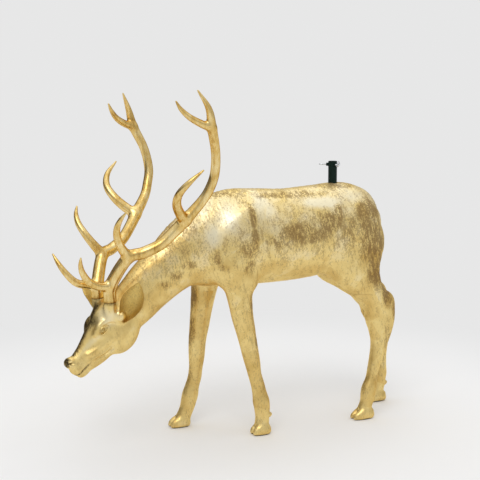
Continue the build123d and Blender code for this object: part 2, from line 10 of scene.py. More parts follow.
import bmesh
import bpy
import numpy as np
import openvdb as vdb
from math import cos, pi, radians, sin
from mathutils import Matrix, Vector


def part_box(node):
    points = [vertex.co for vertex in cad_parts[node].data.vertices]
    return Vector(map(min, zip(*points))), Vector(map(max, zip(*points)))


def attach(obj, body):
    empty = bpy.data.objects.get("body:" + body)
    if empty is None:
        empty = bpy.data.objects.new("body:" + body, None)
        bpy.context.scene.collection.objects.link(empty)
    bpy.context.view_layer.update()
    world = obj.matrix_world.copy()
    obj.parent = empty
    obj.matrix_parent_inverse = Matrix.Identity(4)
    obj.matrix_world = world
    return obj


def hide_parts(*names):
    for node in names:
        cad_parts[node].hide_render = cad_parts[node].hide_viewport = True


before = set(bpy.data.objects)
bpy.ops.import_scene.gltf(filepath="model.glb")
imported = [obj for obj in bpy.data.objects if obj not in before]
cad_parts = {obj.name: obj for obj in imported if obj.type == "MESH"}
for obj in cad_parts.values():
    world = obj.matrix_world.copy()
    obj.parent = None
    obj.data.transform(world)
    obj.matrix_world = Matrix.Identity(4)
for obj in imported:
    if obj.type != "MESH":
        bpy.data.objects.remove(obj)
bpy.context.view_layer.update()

LEFT, RIGHT = -1.0, 1.0
POLE_X = 439.0
YAW = radians(10.0)  # how far the head and neck are turned to the left
PIVOT_X = -150.0  # where that turn is centred
NOSE_DIP = radians(42.0)
PEDICLE_U, PEDICLE_V = -487, 52
SEAT_Z = 628.5  # where the antlers sit on their pedicles
SEAM_X = 20.0  # joint between the front and rear body castings
FRONT_LEG_Z, HIND_LEG_Z = 600.0, 560.0  # joints of the legs with the body
NECK_BASE = (-160, 752, 36)  # joints of the neck: u, z and lean of the plane
NECK_HEAD = (-352, 592, 45)
LAP = 0.3  # how far each casting runs past its joint
SLEEVE_TOP, SADDLE_TOP = 1131.0, 846.0
SCREW_Z = SLEEVE_TOP - 14.0
SCREWS = ((150.0, 0.0), (30.0, 75.0), (-90.0, 40.0))  # direction of each screw, spin of its eye
SLEEVE_HOLE = 19.8  # hole in the back for the sleeve, and in the pedicles for the peg sockets
SOCKET_HOLE = 9.8
FAR = 60.0  # distance fields are not followed beyond this

BACKDROP = 0.80
CAMERA_DISTANCE = 5.0
CAMERA_HEIGHT = 1.6
CAMERA_AIM_Z = 0.815
CAMERA_TURN = -24.5
FRAME_WIDTH = 1.992

sleeve_lo, sleeve_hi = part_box("pole_sleeve")
SHIFT = np.array([(sleeve_lo.x + sleeve_hi.x) / 2 - POLE_X / 1000, (sleeve_lo.y + sleeve_hi.y) / 2, 0.0])


# ------------------------------------------------------------------ frames
def to_body(u, v, z):
    """Design position of a point of the turned head frame."""
    return np.array([PIVOT_X + u * cos(YAW) - v * sin(YAW), u * sin(YAW) + v * cos(YAW), z])


def to_head(x, y, z):
    dx = x - PIVOT_X
    return np.array([dx * cos(YAW) + y * sin(YAW), -dx * sin(YAW) + y * cos(YAW), z])


def dense(rows, n=6):
    """Rows of numbers smoothed by a Catmull-Rom curve, n steps to a span."""
    rows = np.array(rows, float)
    p = np.vstack([2 * rows[0] - rows[1], rows, 2 * rows[-1] - rows[-2]])
    s = (np.arange(n) / n)[:, None]
    spans = []
    for a, b, c, d in zip(p, p[1:], p[2:], p[3:]):
        square = (2 * a - 5 * b + 4 * c - d) * s**2
        cubic = (3 * b - a - 3 * c + d) * s**3
        spans.append(0.5 * (2 * b + (c - a) * s + square + cubic))
    return np.vstack(spans + [rows[-1:]])


# ------------------------------------------------------------------ solid fields
class Grid:
    """A box of sample points in the body frame or the head frame, with a distance field on it."""

    def __init__(self, lo, hi, step, head=False):
        self.step, self.head = step, head
        self.lo = np.array(lo, float)
        self.n = np.ceil((np.array(hi, float) - self.lo) / step).astype(int) + 1
        self.axes = [self.lo[i] + step * np.arange(self.n[i]) for i in range(3)]
        self.d = np.full(self.n, FAR, np.float32)

    def part(self, lo, hi):
        """Slices of the grid that cover a box."""
        out = []
        for i in range(3):
            a = int(np.clip(np.floor((lo[i] - self.lo[i]) / self.step), 0, self.n[i]))
            b = int(np.clip(np.ceil((hi[i] - self.lo[i]) / self.step) + 1, 0, self.n[i]))
            out.append(slice(a, b))
        return tuple(out)

    def coords(self, cut, head):
        """Coordinates of the sliced points in the asked frame, as arrays that broadcast."""
        a = self.axes[0][cut[0]].astype(np.float32)[:, None, None]
        b = self.axes[1][cut[1]].astype(np.float32)[None, :, None]
        z = self.axes[2][cut[2]].astype(np.float32)[None, None, :]
        if head == self.head:
            return a, b, z
        if head:
            return (a - PIVOT_X) * cos(YAW) + b * sin(YAW), -(a - PIVOT_X) * sin(YAW) + b * cos(YAW), z
        return PIVOT_X + a * cos(YAW) - b * sin(YAW), a * sin(YAW) + b * cos(YAW), z

    def reach(self, lo, hi, head, margin):
        """Slices that cover a box given in either frame."""
        if head != self.head:
            change = to_body if head else to_head
            corners = np.array([change(*corner) for corner in product(*zip(lo, hi))])
            lo, hi = corners.min(0), corners.max(0)
        return self.part(np.array(lo) - margin, np.array(hi) + margin)

    def apply(self, shape, k, how):
        lo, hi = shape.box()
        cut = self.reach(lo, hi, shape.head, k + 3 * self.step)
        if any(s.stop <= s.start for s in cut):
            return
        a = self.d[cut]
        b = shape.dist(*self.coords(cut, shape.head)).astype(np.float32)
        b = np.broadcast_to(b, a.shape)
        if how == "add":
            h = np.clip(0.5 + 0.5 * (a - b) / k, 0, 1)
            self.d[cut] = a + (b - a) * h - k * h * (1 - h)
        else:
            h = np.clip(0.5 - 0.5 * (a + b) / k, 0, 1)
            self.d[cut] = a + (-b - a) * h + k * h * (1 - h)

    def mesh(self):
        """Vertices in the body frame and quads of the zero surface."""
        band = 3 * self.step
        grid = vdb.FloatGrid(float(band))
        grid.copyFromArray(np.clip(self.d, -band, band).astype(np.float32), tolerance=0.0)
        points, quads = grid.convertToQuads(isovalue=0.0)
        points = self.lo + points.astype(float) * self.step
        return points, quads[:, ::-1].astype(int)


def ellipse_dist(p, q, r, a, b, c):
    """Near-surface distance to an ellipsoid from offsets and half axes."""
    k0 = np.sqrt((p / a) ** 2 + (q / b) ** 2 + (r / c) ** 2) + 1e-6
    k1 = np.sqrt((p / a**2) ** 2 + (q / b**2) ** 2 + (r / c**2) ** 2) + 1e-9
    return k0 * (k0 - 1) / k1


class Tube:
    """A limb around a bent line in an upright plane.

    Each row: along, height, half size above the line, half size below it, half width, sideways place, egg.
    Above means on the left of the line as it runs. Egg above 0 narrows the upper side.
    """

    def __init__(self, rows, head=False, ends=0.7):
        self.head = head
        self.rows = dense(rows)
        self.line = self.rows[:, :2]
        self.ends = ends

    def box(self):
        r = self.rows
        reach = np.maximum(r[:, 2], r[:, 3])
        lo = [(r[:, 0] - reach).min(), (r[:, 5] - r[:, 4]).min(), (r[:, 1] - reach).min()]
        hi = [(r[:, 0] + reach).max(), (r[:, 5] + r[:, 4]).max(), (r[:, 1] + reach).max()]
        return np.array(lo), np.array(hi)

    def table(self, lo, hi, step):
        """For points of the plane: station number, signed offset from the line and overshoot past its ends."""
        na, nz = (int((hi[i] - lo[i]) / step) + 2 for i in (0, 1))
        a = lo[0] + step * np.arange(na)
        z = lo[1] + step * np.arange(nz)
        best = np.full((na, nz), 1e12)
        t = np.zeros((na, nz))
        h = np.zeros((na, nz))
        over = np.zeros((na, nz))
        last = len(self.line) - 2
        for i in range(last + 1):
            p, q = self.line[i], self.line[i + 1]
            d = q - p
            size = np.hypot(*d)
            d = d / size
            da, dz = a[:, None] - p[0], z[None, :] - p[1]
            s = da * d[0] + dz * d[1]
            side = -da * d[1] + dz * d[0]
            inside = np.clip(s, 0, size)
            past = s - inside
            dist = side**2 + past**2
            near = dist < best - 1e-9
            best[near] = dist[near]
            t[near] = (i + inside / size)[near]
            end = (past < 0) & (i == 0) | (past > 0) & (i == last)
            h[near] = np.where(end, side, np.sign(side) * np.sqrt(dist))[near]
            over[near] = np.where(end, past, 0)[near]
        return np.stack([t, h, over])

    def dist(self, a, y, z):
        step = 3.0
        lo = (float(a.min()) - step, float(z.min()) - step)
        hi = (float(a.max()) + step, float(z.max()) + step)
        table = self.table(lo, hi, step)
        fa, fz = (a - lo[0]) / step, (z - lo[1]) / step
        ia, iz = np.floor(fa).astype(int), np.floor(fz).astype(int)
        wa, wz = fa - ia, fz - iz
        near = table[:, ia, iz] * (1 - wa) * (1 - wz) + table[:, ia + 1, iz] * wa * (1 - wz)
        far = table[:, ia, iz + 1] * (1 - wa) * wz + table[:, ia + 1, iz + 1] * wa * wz
        t, h, over = (near + far).astype(np.float32)
        index = np.arange(len(self.rows))
        sizes = (np.interp(t, index, column).astype(np.float32) for column in self.rows.T[2:])
        top, low, wide, place, egg = sizes
        tall = np.where(h > 0, top, low)
        wide = wide * (1 - egg * np.clip(h / tall, -1.2, 1.2))
        return ellipse_dist(h, y - place, over, tall, wide, np.minimum(tall, wide) * self.ends)


class Blob:
    """An ellipsoid: centre, half sizes (along, level across, square to both) and the direction of the first."""

    def __init__(self, centre, sizes, along=(1, 0, 0), head=False):
        self.c, self.r, self.head = np.array(centre, float), sizes, head
        e0 = np.array(along, float)
        e0 /= np.linalg.norm(e0)
        e1 = np.cross((0, 0, 1), e0) if abs(e0[2]) < 0.99 else np.array([0.0, 1.0, 0.0])
        e1 /= np.linalg.norm(e1)
        self.e = (e0, e1, np.cross(e0, e1))

    def box(self):
        reach = max(self.r)
        return self.c - reach, self.c + reach

    def dist(self, a, y, z):
        dx, dy, dz = a - self.c[0], y - self.c[1], z - self.c[2]
        p, q, r = (dx * e[0] + dy * e[1] + dz * e[2] for e in self.e)
        return ellipse_dist(p, q, r, *self.r)


class Cord:
    """A round strand through points with a radius at each: rows of a, y, z, radius."""

    def __init__(self, rows, head=False, n=4):
        self.rows = dense(rows, n)
        self.head = head

    def box(self):
        r = self.rows
        return (r[:, :3] - r[:, 3:]).min(0), (r[:, :3] + r[:, 3:]).max(0)

    def dist(self, a, y, z):
        axes = (a, y, z)
        best = np.full(np.broadcast_shapes(a.shape, y.shape, z.shape), FAR, np.float32)
        for p, q in zip(self.rows[:-1], self.rows[1:]):
            reach = max(p[3], q[3]) + FAR / 2
            cut = []
            for i, axis in enumerate(axes):
                if axis.size == axis.shape[i]:
                    lo, hi = min(p[i], q[i]) - reach, max(p[i], q[i]) + reach
                    cut.append(slice(*(int(np.searchsorted(axis.ravel(), end)) for end in (lo, hi))))
                else:
                    cut.append(slice(None))
            cut = tuple(cut)
            offset = []
            for i, axis in enumerate(axes):
                own = tuple(c if axis.shape[j] > 1 else slice(None) for j, c in enumerate(cut))
                offset.append(axis[own] - p[i])
            d = q[:3] - p[:3]
            along = offset[0] * d[0] + offset[1] * d[1] + offset[2] * d[2]
            t = np.clip(along / max(float(d @ d), 1e-9), 0, 1)
            gap = sum((offset[i] - t * d[i]) ** 2 for i in range(3))
            if gap.size:
                best[cut] = np.minimum(best[cut], np.sqrt(gap) - (p[3] + (q[3] - p[3]) * t))
        return best


class Post:
    """An upright round post with flat ends, wider or narrower at its foot."""

    def __init__(self, x, y, z0, z1, r0, r1, head=False):
        self.at = (x, y, z0, z1, r0, r1)
        self.head = head

    def box(self):
        x, y, z0, z1, r0, r1 = self.at
        r = max(r0, r1)
        return np.array([x - r, y - r, z0]), np.array([x + r, y + r, z1])

    def dist(self, a, b, z):
        x, y, z0, z1, r0, r1 = self.at
        r = r0 + (r1 - r0) * np.clip((z - z0) / (z1 - z0), 0, 1)
        side = np.sqrt((a - x) ** 2 + (b - y) ** 2) - r
        flat = np.maximum(z0 - z, z - z1)
        return np.maximum(side, flat)


# ------------------------------------------------------------------ noise for the chiselled coat
rng = np.random.default_rng(7)
LATTICE = rng.random((64, 64, 64)).astype(np.float32)


def noise(x, y, z):
    """Smooth value noise, about 0..1, with cells of one unit."""
    cell = [np.floor(c).astype(int) for c in (x, y, z)]
    f = [c - i for c, i in zip((x, y, z), cell)]
    f = [t * t * (3 - 2 * t) for t in f]
    out = 0
    for i, j, k in product((0, 1), repeat=3):
        w = (f[0] if i else 1 - f[0]) * (f[1] if j else 1 - f[1]) * (f[2] if k else 1 - f[2])
        out = out + w * LATTICE[(cell[0] + i) % 64, (cell[1] + j) % 64, (cell[2] + k) % 64]
    return out


def bump(x, centre, size):
    return np.exp(-(((x - centre) / size) ** 2))


def ramp(x, a, b):
    t = np.clip((x - a) / (b - a), 0, 1)
    return t * t * (3 - 2 * t)


# ------------------------------------------------------------------ anatomy
TRUNK = Tube([
    # x, z, above, below, half width, y, egg
    (-190, 806, 128, 118, 84, 0, 0.05),
    (-120, 826, 178, 182, 116, 0, 0.12),
    (-60, 832, 200, 198, 132, 0, 0.18),
    (20, 830, 202, 203, 142, 0, 0.16),
    (110, 826, 201, 200, 149, 0, 0.10),
    (200, 826, 197, 198, 152, 0, 0.08),
    (290, 834, 194, 200, 150, 0, 0.08),
    (380, 846, 188, 198, 146, 0, 0.08),
    (460, 856, 184, 186, 143, 0, 0.06),
    (530, 852, 170, 168, 134, 0, 0.04),
    (585, 842, 142, 146, 112, 0, 0.0),
    (618, 834, 96, 106, 78, 0, 0.0),
], ends=0.55)
NECK = Tube([
    (-415, 541, 92, 74, 62, 0, 0.0),
    (-352, 592, 104, 92, 66, 0, 0.0),
    (-275, 664, 110, 106, 72, 0, 0.0),
    (-180, 735, 120, 119, 88, 0, 0.05),
    (-75, 795, 148, 144, 108, 0, 0.08),
    (40, 812, 170, 165, 118, 0, 0.1),
], head=True)


def on_head(s, h):
    """Point of the head's midplane, s along the nose and h towards the forehead."""
    return -458 - s * cos(NOSE_DIP) - h * sin(NOSE_DIP), 500 - s * sin(NOSE_DIP) + h * cos(NOSE_DIP)


def head_at(s, h, v):
    u, z = on_head(s, h)
    return (u, v, z)


def face_cord(side, *rows):
    """A strand on one side of the face: rows of s, h, distance from the midplane, radius."""
    return Cord([(*head_at(s, h, side * v), r) for s, h, v, r in rows], True)


ALONG_NOSE = (-cos(NOSE_DIP), 0, -sin(NOSE_DIP))

HEAD = Tube(
    [
        (*on_head(s, 0), top, low, wide, 0, egg)
        for s, top, low, wide, egg in (
            (207, 56, 34, 31, 0.08),
            (188, 57, 38, 32, 0.14),
            (165, 60, 45, 34, 0.2),
            (138, 66, 54, 38, 0.24),
            (108, 75, 62, 44, 0.2),
            (75, 85, 66, 54, 0.1),
            (38, 94, 67, 64, 0.0),
            (0, 100, 73, 70, 0.0),
            (-40, 103, 76, 70, 0.02),
            (-80, 100, 70, 66, 0.0),
        )
    ],
    head=True,
    ends=0.55,
)


def leg_rows(sections):
    """Rows of a leg from the foot up: height, x, half size in front, half size behind, half width, y."""
    return [(x, z, front, rear, wide, y, 0.0) for z, x, front, rear, wide, y in sections]


LEFT_FRONT = Tube(leg_rows([
    (40, 46, 30, 32, 27, -118),
    (75, 50, 30, 31, 27, -116),
    (110, 49, 33, 35, 30, -115),
    (142, 45, 35, 37, 31, -113),
    (178, 38, 30, 32, 26, -111),
    (215, 30, 28, 31, 24, -109),
    (260, 19, 29, 29, 25, -107),
    (305, 10, 33, 33, 30, -106),
    (350, 1, 37, 35, 31, -105),
    (395, -8, 39, 37, 31, -103),
    (450, -20, 42, 42, 35, -100),
    (510, -34, 45, 47, 41, -97),
    (570, -44, 48, 54, 47, -94),
    (640, -58, 54, 66, 50, -90),
    (720, -75, 82, 78, 48, -84),
]))
RIGHT_FRONT = Tube(leg_rows([
    (40, -218, 30, 34, 27, 118),
    (75, -202, 30, 32, 27, 116),
    (110, -191, 34, 34, 30, 115),
    (142, -184, 35, 35, 31, 113),
    (178, -176, 30, 31, 26, 111),
    (215, -166, 29, 31, 24, 109),
    (260, -160, 30, 30, 25, 107),
    (305, -155, 36, 33, 30, 106),
    (350, -153, 39, 35, 31, 105),
    (395, -150, 41, 38, 31, 103),
    (450, -143, 45, 42, 35, 100),
    (510, -137, 48, 46, 41, 97),
    (570, -128, 55, 50, 47, 94),
    (640, -116, 66, 58, 50, 90),
    (720, -95, 80, 76, 48, 84),
]))
HIND_SECTIONS = [
    (36, 548, 28, 34, 27, 107),
    (72, 561, 27, 32, 27, 107),
    (106, 569, 32, 34, 30, 107),
    (135, 575, 32, 36, 30, 106),
    (178, 584, 21, 30, 25, 105),
    (225, 594, 22, 32, 25, 104),
    (283, 612, 30, 35, 28, 102),
    (330, 624, 38, 41, 31, 100),
    (375, 634, 58, 50, 34, 99),
    (420, 640, 78, 58, 37, 98),
    (462, 640, 86, 64, 40, 96),
    (505, 628, 78, 73, 46, 94),
    (535, 612, 79, 58, 50, 92),
    (570, 592, 80, 50, 54, 91),
    (625, 552, 96, 80, 62, 86),
    (700, 510, 130, 112, 64, 80),
    (780, 505, 120, 124, 50, 74),
]
LEFT_HIND = Tube(leg_rows([(z, x, f, r, w, -y) for z, x, f, r, w, y in HIND_SECTIONS]))


def hind_step(z):
    """How far the right hind leg stands behind the left one at a height."""
    heights = (0, 60, 180, 300, 400, 480, 560, 640, 700)
    return float(np.interp(z, heights, (190, 190, 174, 142, 108, 84, 54, 22, 8)))


RIGHT_HIND = Tube(leg_rows([(z, x + hind_step(z), f, r, w, y) for z, x, f, r, w, y in HIND_SECTIONS]))

FEET = {
    # toe x, heel x and y of each hoof
    "left_front_leg": (0, 80, -120),
    "right_front_leg": (-278, -190, 120),
    "left_hind_leg": (492, 592, -107),
    "right_hind_leg": (684, 783, 107),
}


def hoof_shapes(toe, heel, y):
    """Two claws and two dew claws as added shapes; the grooves between the claws as cuts."""
    middle, half = (toe + heel) / 2, (heel - toe) / 2
    add = []
    for side in (LEFT, RIGHT):
        add.append((Blob((middle, y + side * 14.5, 20), (half * 1.04, 17, 27), (-1, 0, -0.36)), 8))
        add.append((Blob((heel - 22, y + side * 14, 16), (24, 16, 20), (1, 0, 0)), 8))
        add.append((Blob((heel - 8, y + side * 15, 84), (11, 8, 15), (0.35, 0, -1)), 5))
    cleft = [(toe - 8, y, 6, 3.2), (toe + 8, y, 30, 3), (middle - 8, y, 50, 2), (middle, y, 66, 0.8)]
    sole = [(toe - 4, y, 0, 3.4), (middle, y, 0, 3.4), (heel - 8, y, 2, 3)]
    back = [(heel + 4, y, 8, 3), (heel - 2, y, 30, 3), (heel - 8, y, 52, 1.5)]
    cut = [("cut", Cord(run), k) for run, k in ((cleft, 4), (sole, 3), (back, 5))]
    return add, cut


MUSCLES = [
    # shape, blend radius
    (Blob((-140, 0, 712), (120, 78, 74), (1, 0, 0.1)), 40),
]
for side in (LEFT, RIGHT):
    MUSCLES += [
        (Blob((-44, side * 104, 832), (128, 32, 80), (0.32, 0, 0.95)), 48),
        (Blob((-100, side * 96, 730), (92, 42, 70), (-0.3, 0, 1)), 40),
        (Blob((-22, side * 100, 668), (62, 36, 58), (0.6, 0, 1)), 30),
        (Blob((518, side * 84, 816), (136, 60, 112), (0.1, 0, 1)), 40),
        (Blob((572, side * 78, 742), (104, 44, 72), (0.12, 0, 1)), 34),
        (Blob((488, side * 92, 700), (88, 38, 70), (0.5, 0, 1)), 40),
    ]

FACE = []
for side in (LEFT, RIGHT):
    FACE += [
        (Blob(head_at(-12, -44, side * 40), (74, 30, 50), ALONG_NOSE, True), 22),
        (Blob(head_at(-20, -28, side * 44), (60, 27, 42), ALONG_NOSE, True), 22),
        (face_cord(side, (64, 62, 42, 7), (44, 74, 47, 10), (20, 80, 48, 11), (-6, 76, 46, 8)), 18),
        (face_cord(side, (40, 8, 55, 7), (72, 8, 48, 8), (105, 13, 39, 8), (138, 21, 31, 6)), 20),
        (Blob((-448, side * 66, 572), (22, 20, 22), (0, side, 0.6), True), 22),
        (Post(PEDICLE_U, side * PEDICLE_V, 556, 628, 15, 25, True), 20),
        (face_cord(side, (156, 4, 33, 3), (126, -3, 41, 5), (96, -10, 50, 5.5), (62, -16, 60, 4)), 7),
        (face_cord(side, (150, -16, 30, 3), (120, -22, 40, 5), (90, -30, 49, 5.5), (56, -34, 58, 4)), 7),
    ]
FACE += [
    (Blob(head_at(-30, 88, 0), (56, 46, 26), ALONG_NOSE, True), 20),
    (Blob(head_at(207, 45, 0), (21, 27, 21), ALONG_NOSE, True), 14),
    (Blob(head_at(204, 8, 0), (24, 29, 20), ALONG_NOSE, True), 12),
    (Blob(head_at(190, -26, 0), (26, 21, 16), ALONG_NOSE, True), 12),
]
# Strands of the face: s and h on the head's midplane, distance from it, radius.
UPPER_LID = ((55, 51, 54, 2), (45, 66, 57, 3.2), (31, 70, 59, 3.6), (17, 64, 60, 3), (8, 56, 59, 2))
LOWER_LID = ((55, 51, 54, 2), (43, 46, 59, 2.6), (29, 45, 60, 2.8), (15, 49, 60, 2.4), (8, 56, 59, 2))
MOUTH = ((222, -3, 0, 2), (213, -4, 20, 2.3), (194, -5, 31, 2.3), (176, -7, 35, 2.2), (158, -8, 38, 1.4))
NOSTRIL = ((213, 52, 19, 4), (203, 46, 28, 5.5), (193, 45, 32, 4.5), (186, 51, 32, 2.5))
EYES = []
for side in (LEFT, RIGHT):
    EYES += [
        ("cut", Blob(head_at(36, 59, side * 68), (18, 11, 11), ALONG_NOSE, True), 6),
        ("add", Blob(head_at(35, 58, side * 48.5), (12.5, 11.5, 11.5), ALONG_NOSE, True), 1.5),
        ("add", face_cord(side, *UPPER_LID), 3),
        ("add", face_cord(side, *LOWER_LID), 3),
        ("cut", face_cord(side, (57, 49, 57, 3), (70, 42, 55, 3.5), (86, 36, 50, 2)), 5),
        ("cut", face_cord(side, *MOUTH), 3),
        ("cut", face_cord(side, *NOSTRIL), 4),
    ]

BODY = [(TRUNK, 1), (NECK, 60), (LEFT_FRONT, 45), (RIGHT_FRONT, 45), (LEFT_HIND, 50), (RIGHT_HIND, 50)]


def fill(grid, parts):
    for shape, k in parts:
        grid.apply(shape, k, "add")


def make_object(name, points, faces):
    """A Blender mesh from design-frame millimetres."""
    mesh = bpy.data.meshes.new(name)
    verts = np.asarray(points, float) / 1000 + SHIFT
    faces = np.asarray(faces)
    mesh.vertices.add(len(verts))
    mesh.vertices.foreach_set("co", verts.astype(np.float32).ravel())
    size = faces.shape[1]
    mesh.loops.add(faces.size)
    mesh.loops.foreach_set("vertex_index", faces.astype(np.int32).ravel())
    mesh.polygons.add(len(faces))
    mesh.polygons.foreach_set("loop_start", np.arange(0, faces.size, size, dtype=np.int32))
    mesh.update(calc_edges=True)
    mesh.validate()
    mesh.polygons.foreach_set("use_smooth", np.ones(len(mesh.polygons), bool))
    obj = bpy.data.objects.new(name, mesh)
    bpy.context.scene.collection.objects.link(obj)
    return obj


def trim(points, faces, planes):
    """Keeps the side of each plane its normal points away from, with a straight edge on the plane."""
    for origin, normal in planes:
        s = (points - origin) @ normal
        keep = (s[faces] < 0).any(1)
        faces = faces[keep]
        over = np.maximum(s, 0)
        used = np.zeros(len(points), bool)
        used[faces.ravel()] = True
        over[~used] = 0
        points = points - over[:, None] * normal
        index = np.cumsum(used) - 1
        points, faces = points[used], index[faces]
    return points, faces


def head_plane(u, z, slope):
    """Plane across the neck; its normal points to the nose."""
    tilt = radians(slope)
    return to_body(u, 0, z), np.array([-cos(YAW) * cos(tilt), -sin(YAW) * cos(tilt), -sin(tilt)])


def level(z, up):
    return np.array([0, 0, z]), np.array([0, 0, 1.0 if up else -1.0])


def upright(x, back):
    return np.array([x, 0, 0]), np.array([1.0 if back else -1.0, 0, 0])


def piece(lo, hi, step, parts, planes, head=False, extra=()):
    """Points and faces of one casting: a field of added parts, further shapes, and the joints it ends at."""
    grid = Grid(lo, hi, step, head)
    fill(grid, parts)
    for how, shape, k in extra:
        grid.apply(shape, k, how)
    points, faces = grid.mesh()
    if head:
        points = to_body(*points.T).T
    return trim(points, faces, planes)


PIECES = {}


def main_castings():
    hole = ("cut", Post(POLE_X, 0, 900, 1200, SLEEVE_HOLE, SLEEVE_HOLE), 1)
    all_parts = BODY + MUSCLES
    base_o, base_n = head_plane(*NECK_BASE)
    end_o, end_n = head_plane(*NECK_HEAD)
    PIECES["front_body"] = piece(
        (-400, -175, 590), (32, 175, 1075), 3.0, all_parts,
        [upright(SEAM_X + LAP, True), level(FRONT_LEG_Z - LAP, False), (base_o + LAP * base_n, base_n)],
    )
    PIECES["rear_body"] = piece(
        (8, -175, 550), (752, 175, 1075), 3.0, all_parts,
        [upright(SEAM_X - LAP, False), level(HIND_LEG_Z - LAP, False)], extra=(hole,),
    )
    PIECES["neck"] = piece(
        (-470, -140, 400), (-60, 140, 960), 3.0, all_parts + [(HEAD, 30)] + FACE,
        [(base_o - LAP * base_n, -base_n), (end_o + LAP * end_n, end_n)], head=True,
    )
    for name, lo, hi, joint in (
        ("left_front_leg", (-150, -175, 0), (110, -50, 612), FRONT_LEG_Z),
        ("right_front_leg", (-310, 50, 0), (-20, 175, 612), FRONT_LEG_Z),
        ("left_hind_leg", (350, -170, 0), (730, -20, 572), HIND_LEG_Z),
        ("right_hind_leg", (380, 20, 0), (830, 170, 572), HIND_LEG_Z),
    ):
        added, cuts = hoof_shapes(*FEET[name])
        ground = ("cut", Post((lo[0] + hi[0]) / 2, (lo[1] + hi[1]) / 2, -60, 3, 500, 500), 1.5)
        PIECES[name] = piece(lo, hi, 2.5, all_parts + added, [level(joint + LAP, True)], extra=cuts + [ground])
    sockets = [
        ("cut", Post(PEDICLE_U, side * PEDICLE_V, 570, 640, SOCKET_HOLE, SOCKET_HOLE, True), 1)
        for side in (LEFT, RIGHT)
    ]
    PIECES["head"] = piece(
        (-700, -115, 300), (-300, 115, 730), 2.0, [(NECK, 1), (HEAD, 30)] + FACE,
        [(end_o - LAP * end_n, -end_n)], head=True, extra=EYES + sockets,
    )


main_castings()


# ------------------------------------------------------------------ antlers
BEAM = [
    (-487, 51, 600, 26),
    (-487, 52, 640, 25.5),
    (-484, 56, 690, 25),
    (-436, 103, 794, 24),
    (-378, 128, 816, 23),
    (-315, 153, 846, 22.5),
    (-264, 175, 896, 22.5),
    (-228, 194, 938, 23.5),
    (-172, 218, 1005, 20),
    (-145, 238, 1055, 19),
    (-128, 254, 1120, 18.5),
    (-138, 276, 1205, 18),
    (-172, 303, 1298, 18.5),
    (-190, 309, 1370, 12.5),
    (-226, 290, 1438, 3.5),
]
TINES = [
    [
        (-484, 56, 688, 20), (-530, 60, 690, 17), (-578, 62, 708, 15),
        (-614, 76, 748, 12.5), (-634, 96, 785, 9), (-645, 120, 819, 3.5),
    ],
    [
        (-434, 106, 802, 21), (-468, 114, 842, 17.5), (-495, 134, 885, 15),
        (-510, 160, 925, 12.5), (-508, 184, 960, 9), (-494, 203, 989, 3.5),
    ],
    [
        (-228, 194, 938, 21), (-268, 222, 972, 19.5), (-300, 252, 1012, 17.5),
        (-311, 288, 1055, 14.5), (-288, 322, 1100, 11), (-236, 342, 1146, 3.5),
    ],
    [
        (-172, 302, 1297, 16), (-218, 300, 1314, 14.5), (-260, 287, 1338, 12),
        (-290, 273, 1368, 8.5), (-308, 266, 1398, 3.5),
    ],
]
ANTLER_TILT = 9.0
CROWN_TILT = 5.0


def antler(side):
    """One antler; the left one sits a touch higher outboard than the right one."""
    grid_lo, grid_hi = (-668, 20, 612), (-108, 355, 1462)
    if side == LEFT:
        grid_lo, grid_hi = (grid_lo[0], -grid_hi[1], grid_lo[2]), (grid_hi[0], -grid_lo[1], grid_hi[2])
    grid = Grid(grid_lo, grid_hi, 2.5, head=True)
    for run in [BEAM] + TINES:
        rows = []
        for u, v, z, r in run:
            lean = ANTLER_TILT * float(ramp(z, 640.0, 720.0)) + CROWN_TILT * float(ramp(z, 1200.0, 1340.0))
            rows.append((u, side * v, z - side * lean, r))
        grid.apply(Cord(rows, True, 8), 13, "add")
    seat = (PEDICLE_U, side * PEDICLE_V, 560)
    grid.apply(Post(*seat, SEAT_Z, 90, 90, True), 1, "cut")
    grid.apply(Post(*seat, 674, 6.5, 6.5, True), 1, "cut")
    points, faces = grid.mesh()
    return to_body(*points.T).T, faces


TAIL = Tube([
    (598, 958, 10, 12, 13, 0, 0),
    (622, 930, 13, 13, 22, 0, 0),
    (643, 893, 14, 14, 30, 0, 0),
    (656, 855, 14, 14, 32, 0, 0),
    (663, 822, 11, 12, 25, 0, 0),
    (664, 796, 5, 6, 9, 0, 0),
])


def tail():
    grid = Grid((560, -60, 770), (720, 60, 990), 2.0)
    fill(grid, [(TAIL, 1)])
    for lock in range(-3, 4):
        y = lock * 9.0
        end = 800 + 3 * abs(lock) + (6 if lock % 2 else 0)
        groove = [(652, 0.6 * y, 905, 1.5), (670, y, 865, 2.6), (676, 0.9 * y, 830, 2.4)]
        grid.apply(Cord(groove + [(674, 0.7 * y, end, 1.2)]), 3, "cut")
    return grid.mesh()


PIECES["tail"] = tail()
PIECES["left_antler"] = antler(LEFT)
PIECES["right_antler"] = antler(RIGHT)


# ------------------------------------------------------------------ surface detail
def vertex_normals(points, faces):
    a, b, c, d = (points[faces[:, i]] for i in range(4))
    n = np.cross(c - a, d - b)
    out = np.zeros_like(points)
    for i in range(4):
        np.add.at(out, faces[:, i], n)
    return out / (np.linalg.norm(out, axis=1)[:, None] + 1e-12)


def coat(points):
    """Chisel marks of the coat, 0..1, long along the lie of the hair."""
    x, y, z = points.T
    bend = 0.5 * noise(x / 90 + 5, y / 90 + 9, z / 90 + 3)
    down = z + 26 * bend + 0.35 * x
    fine = noise(x / 7 + down / 30, y / 9 + 40, down / 26 + 7)
    coarse = noise(x / 16 + 31, y / 16 + 11, down / 44 + 50)
    return 0.6 * fine + 0.4 * coarse


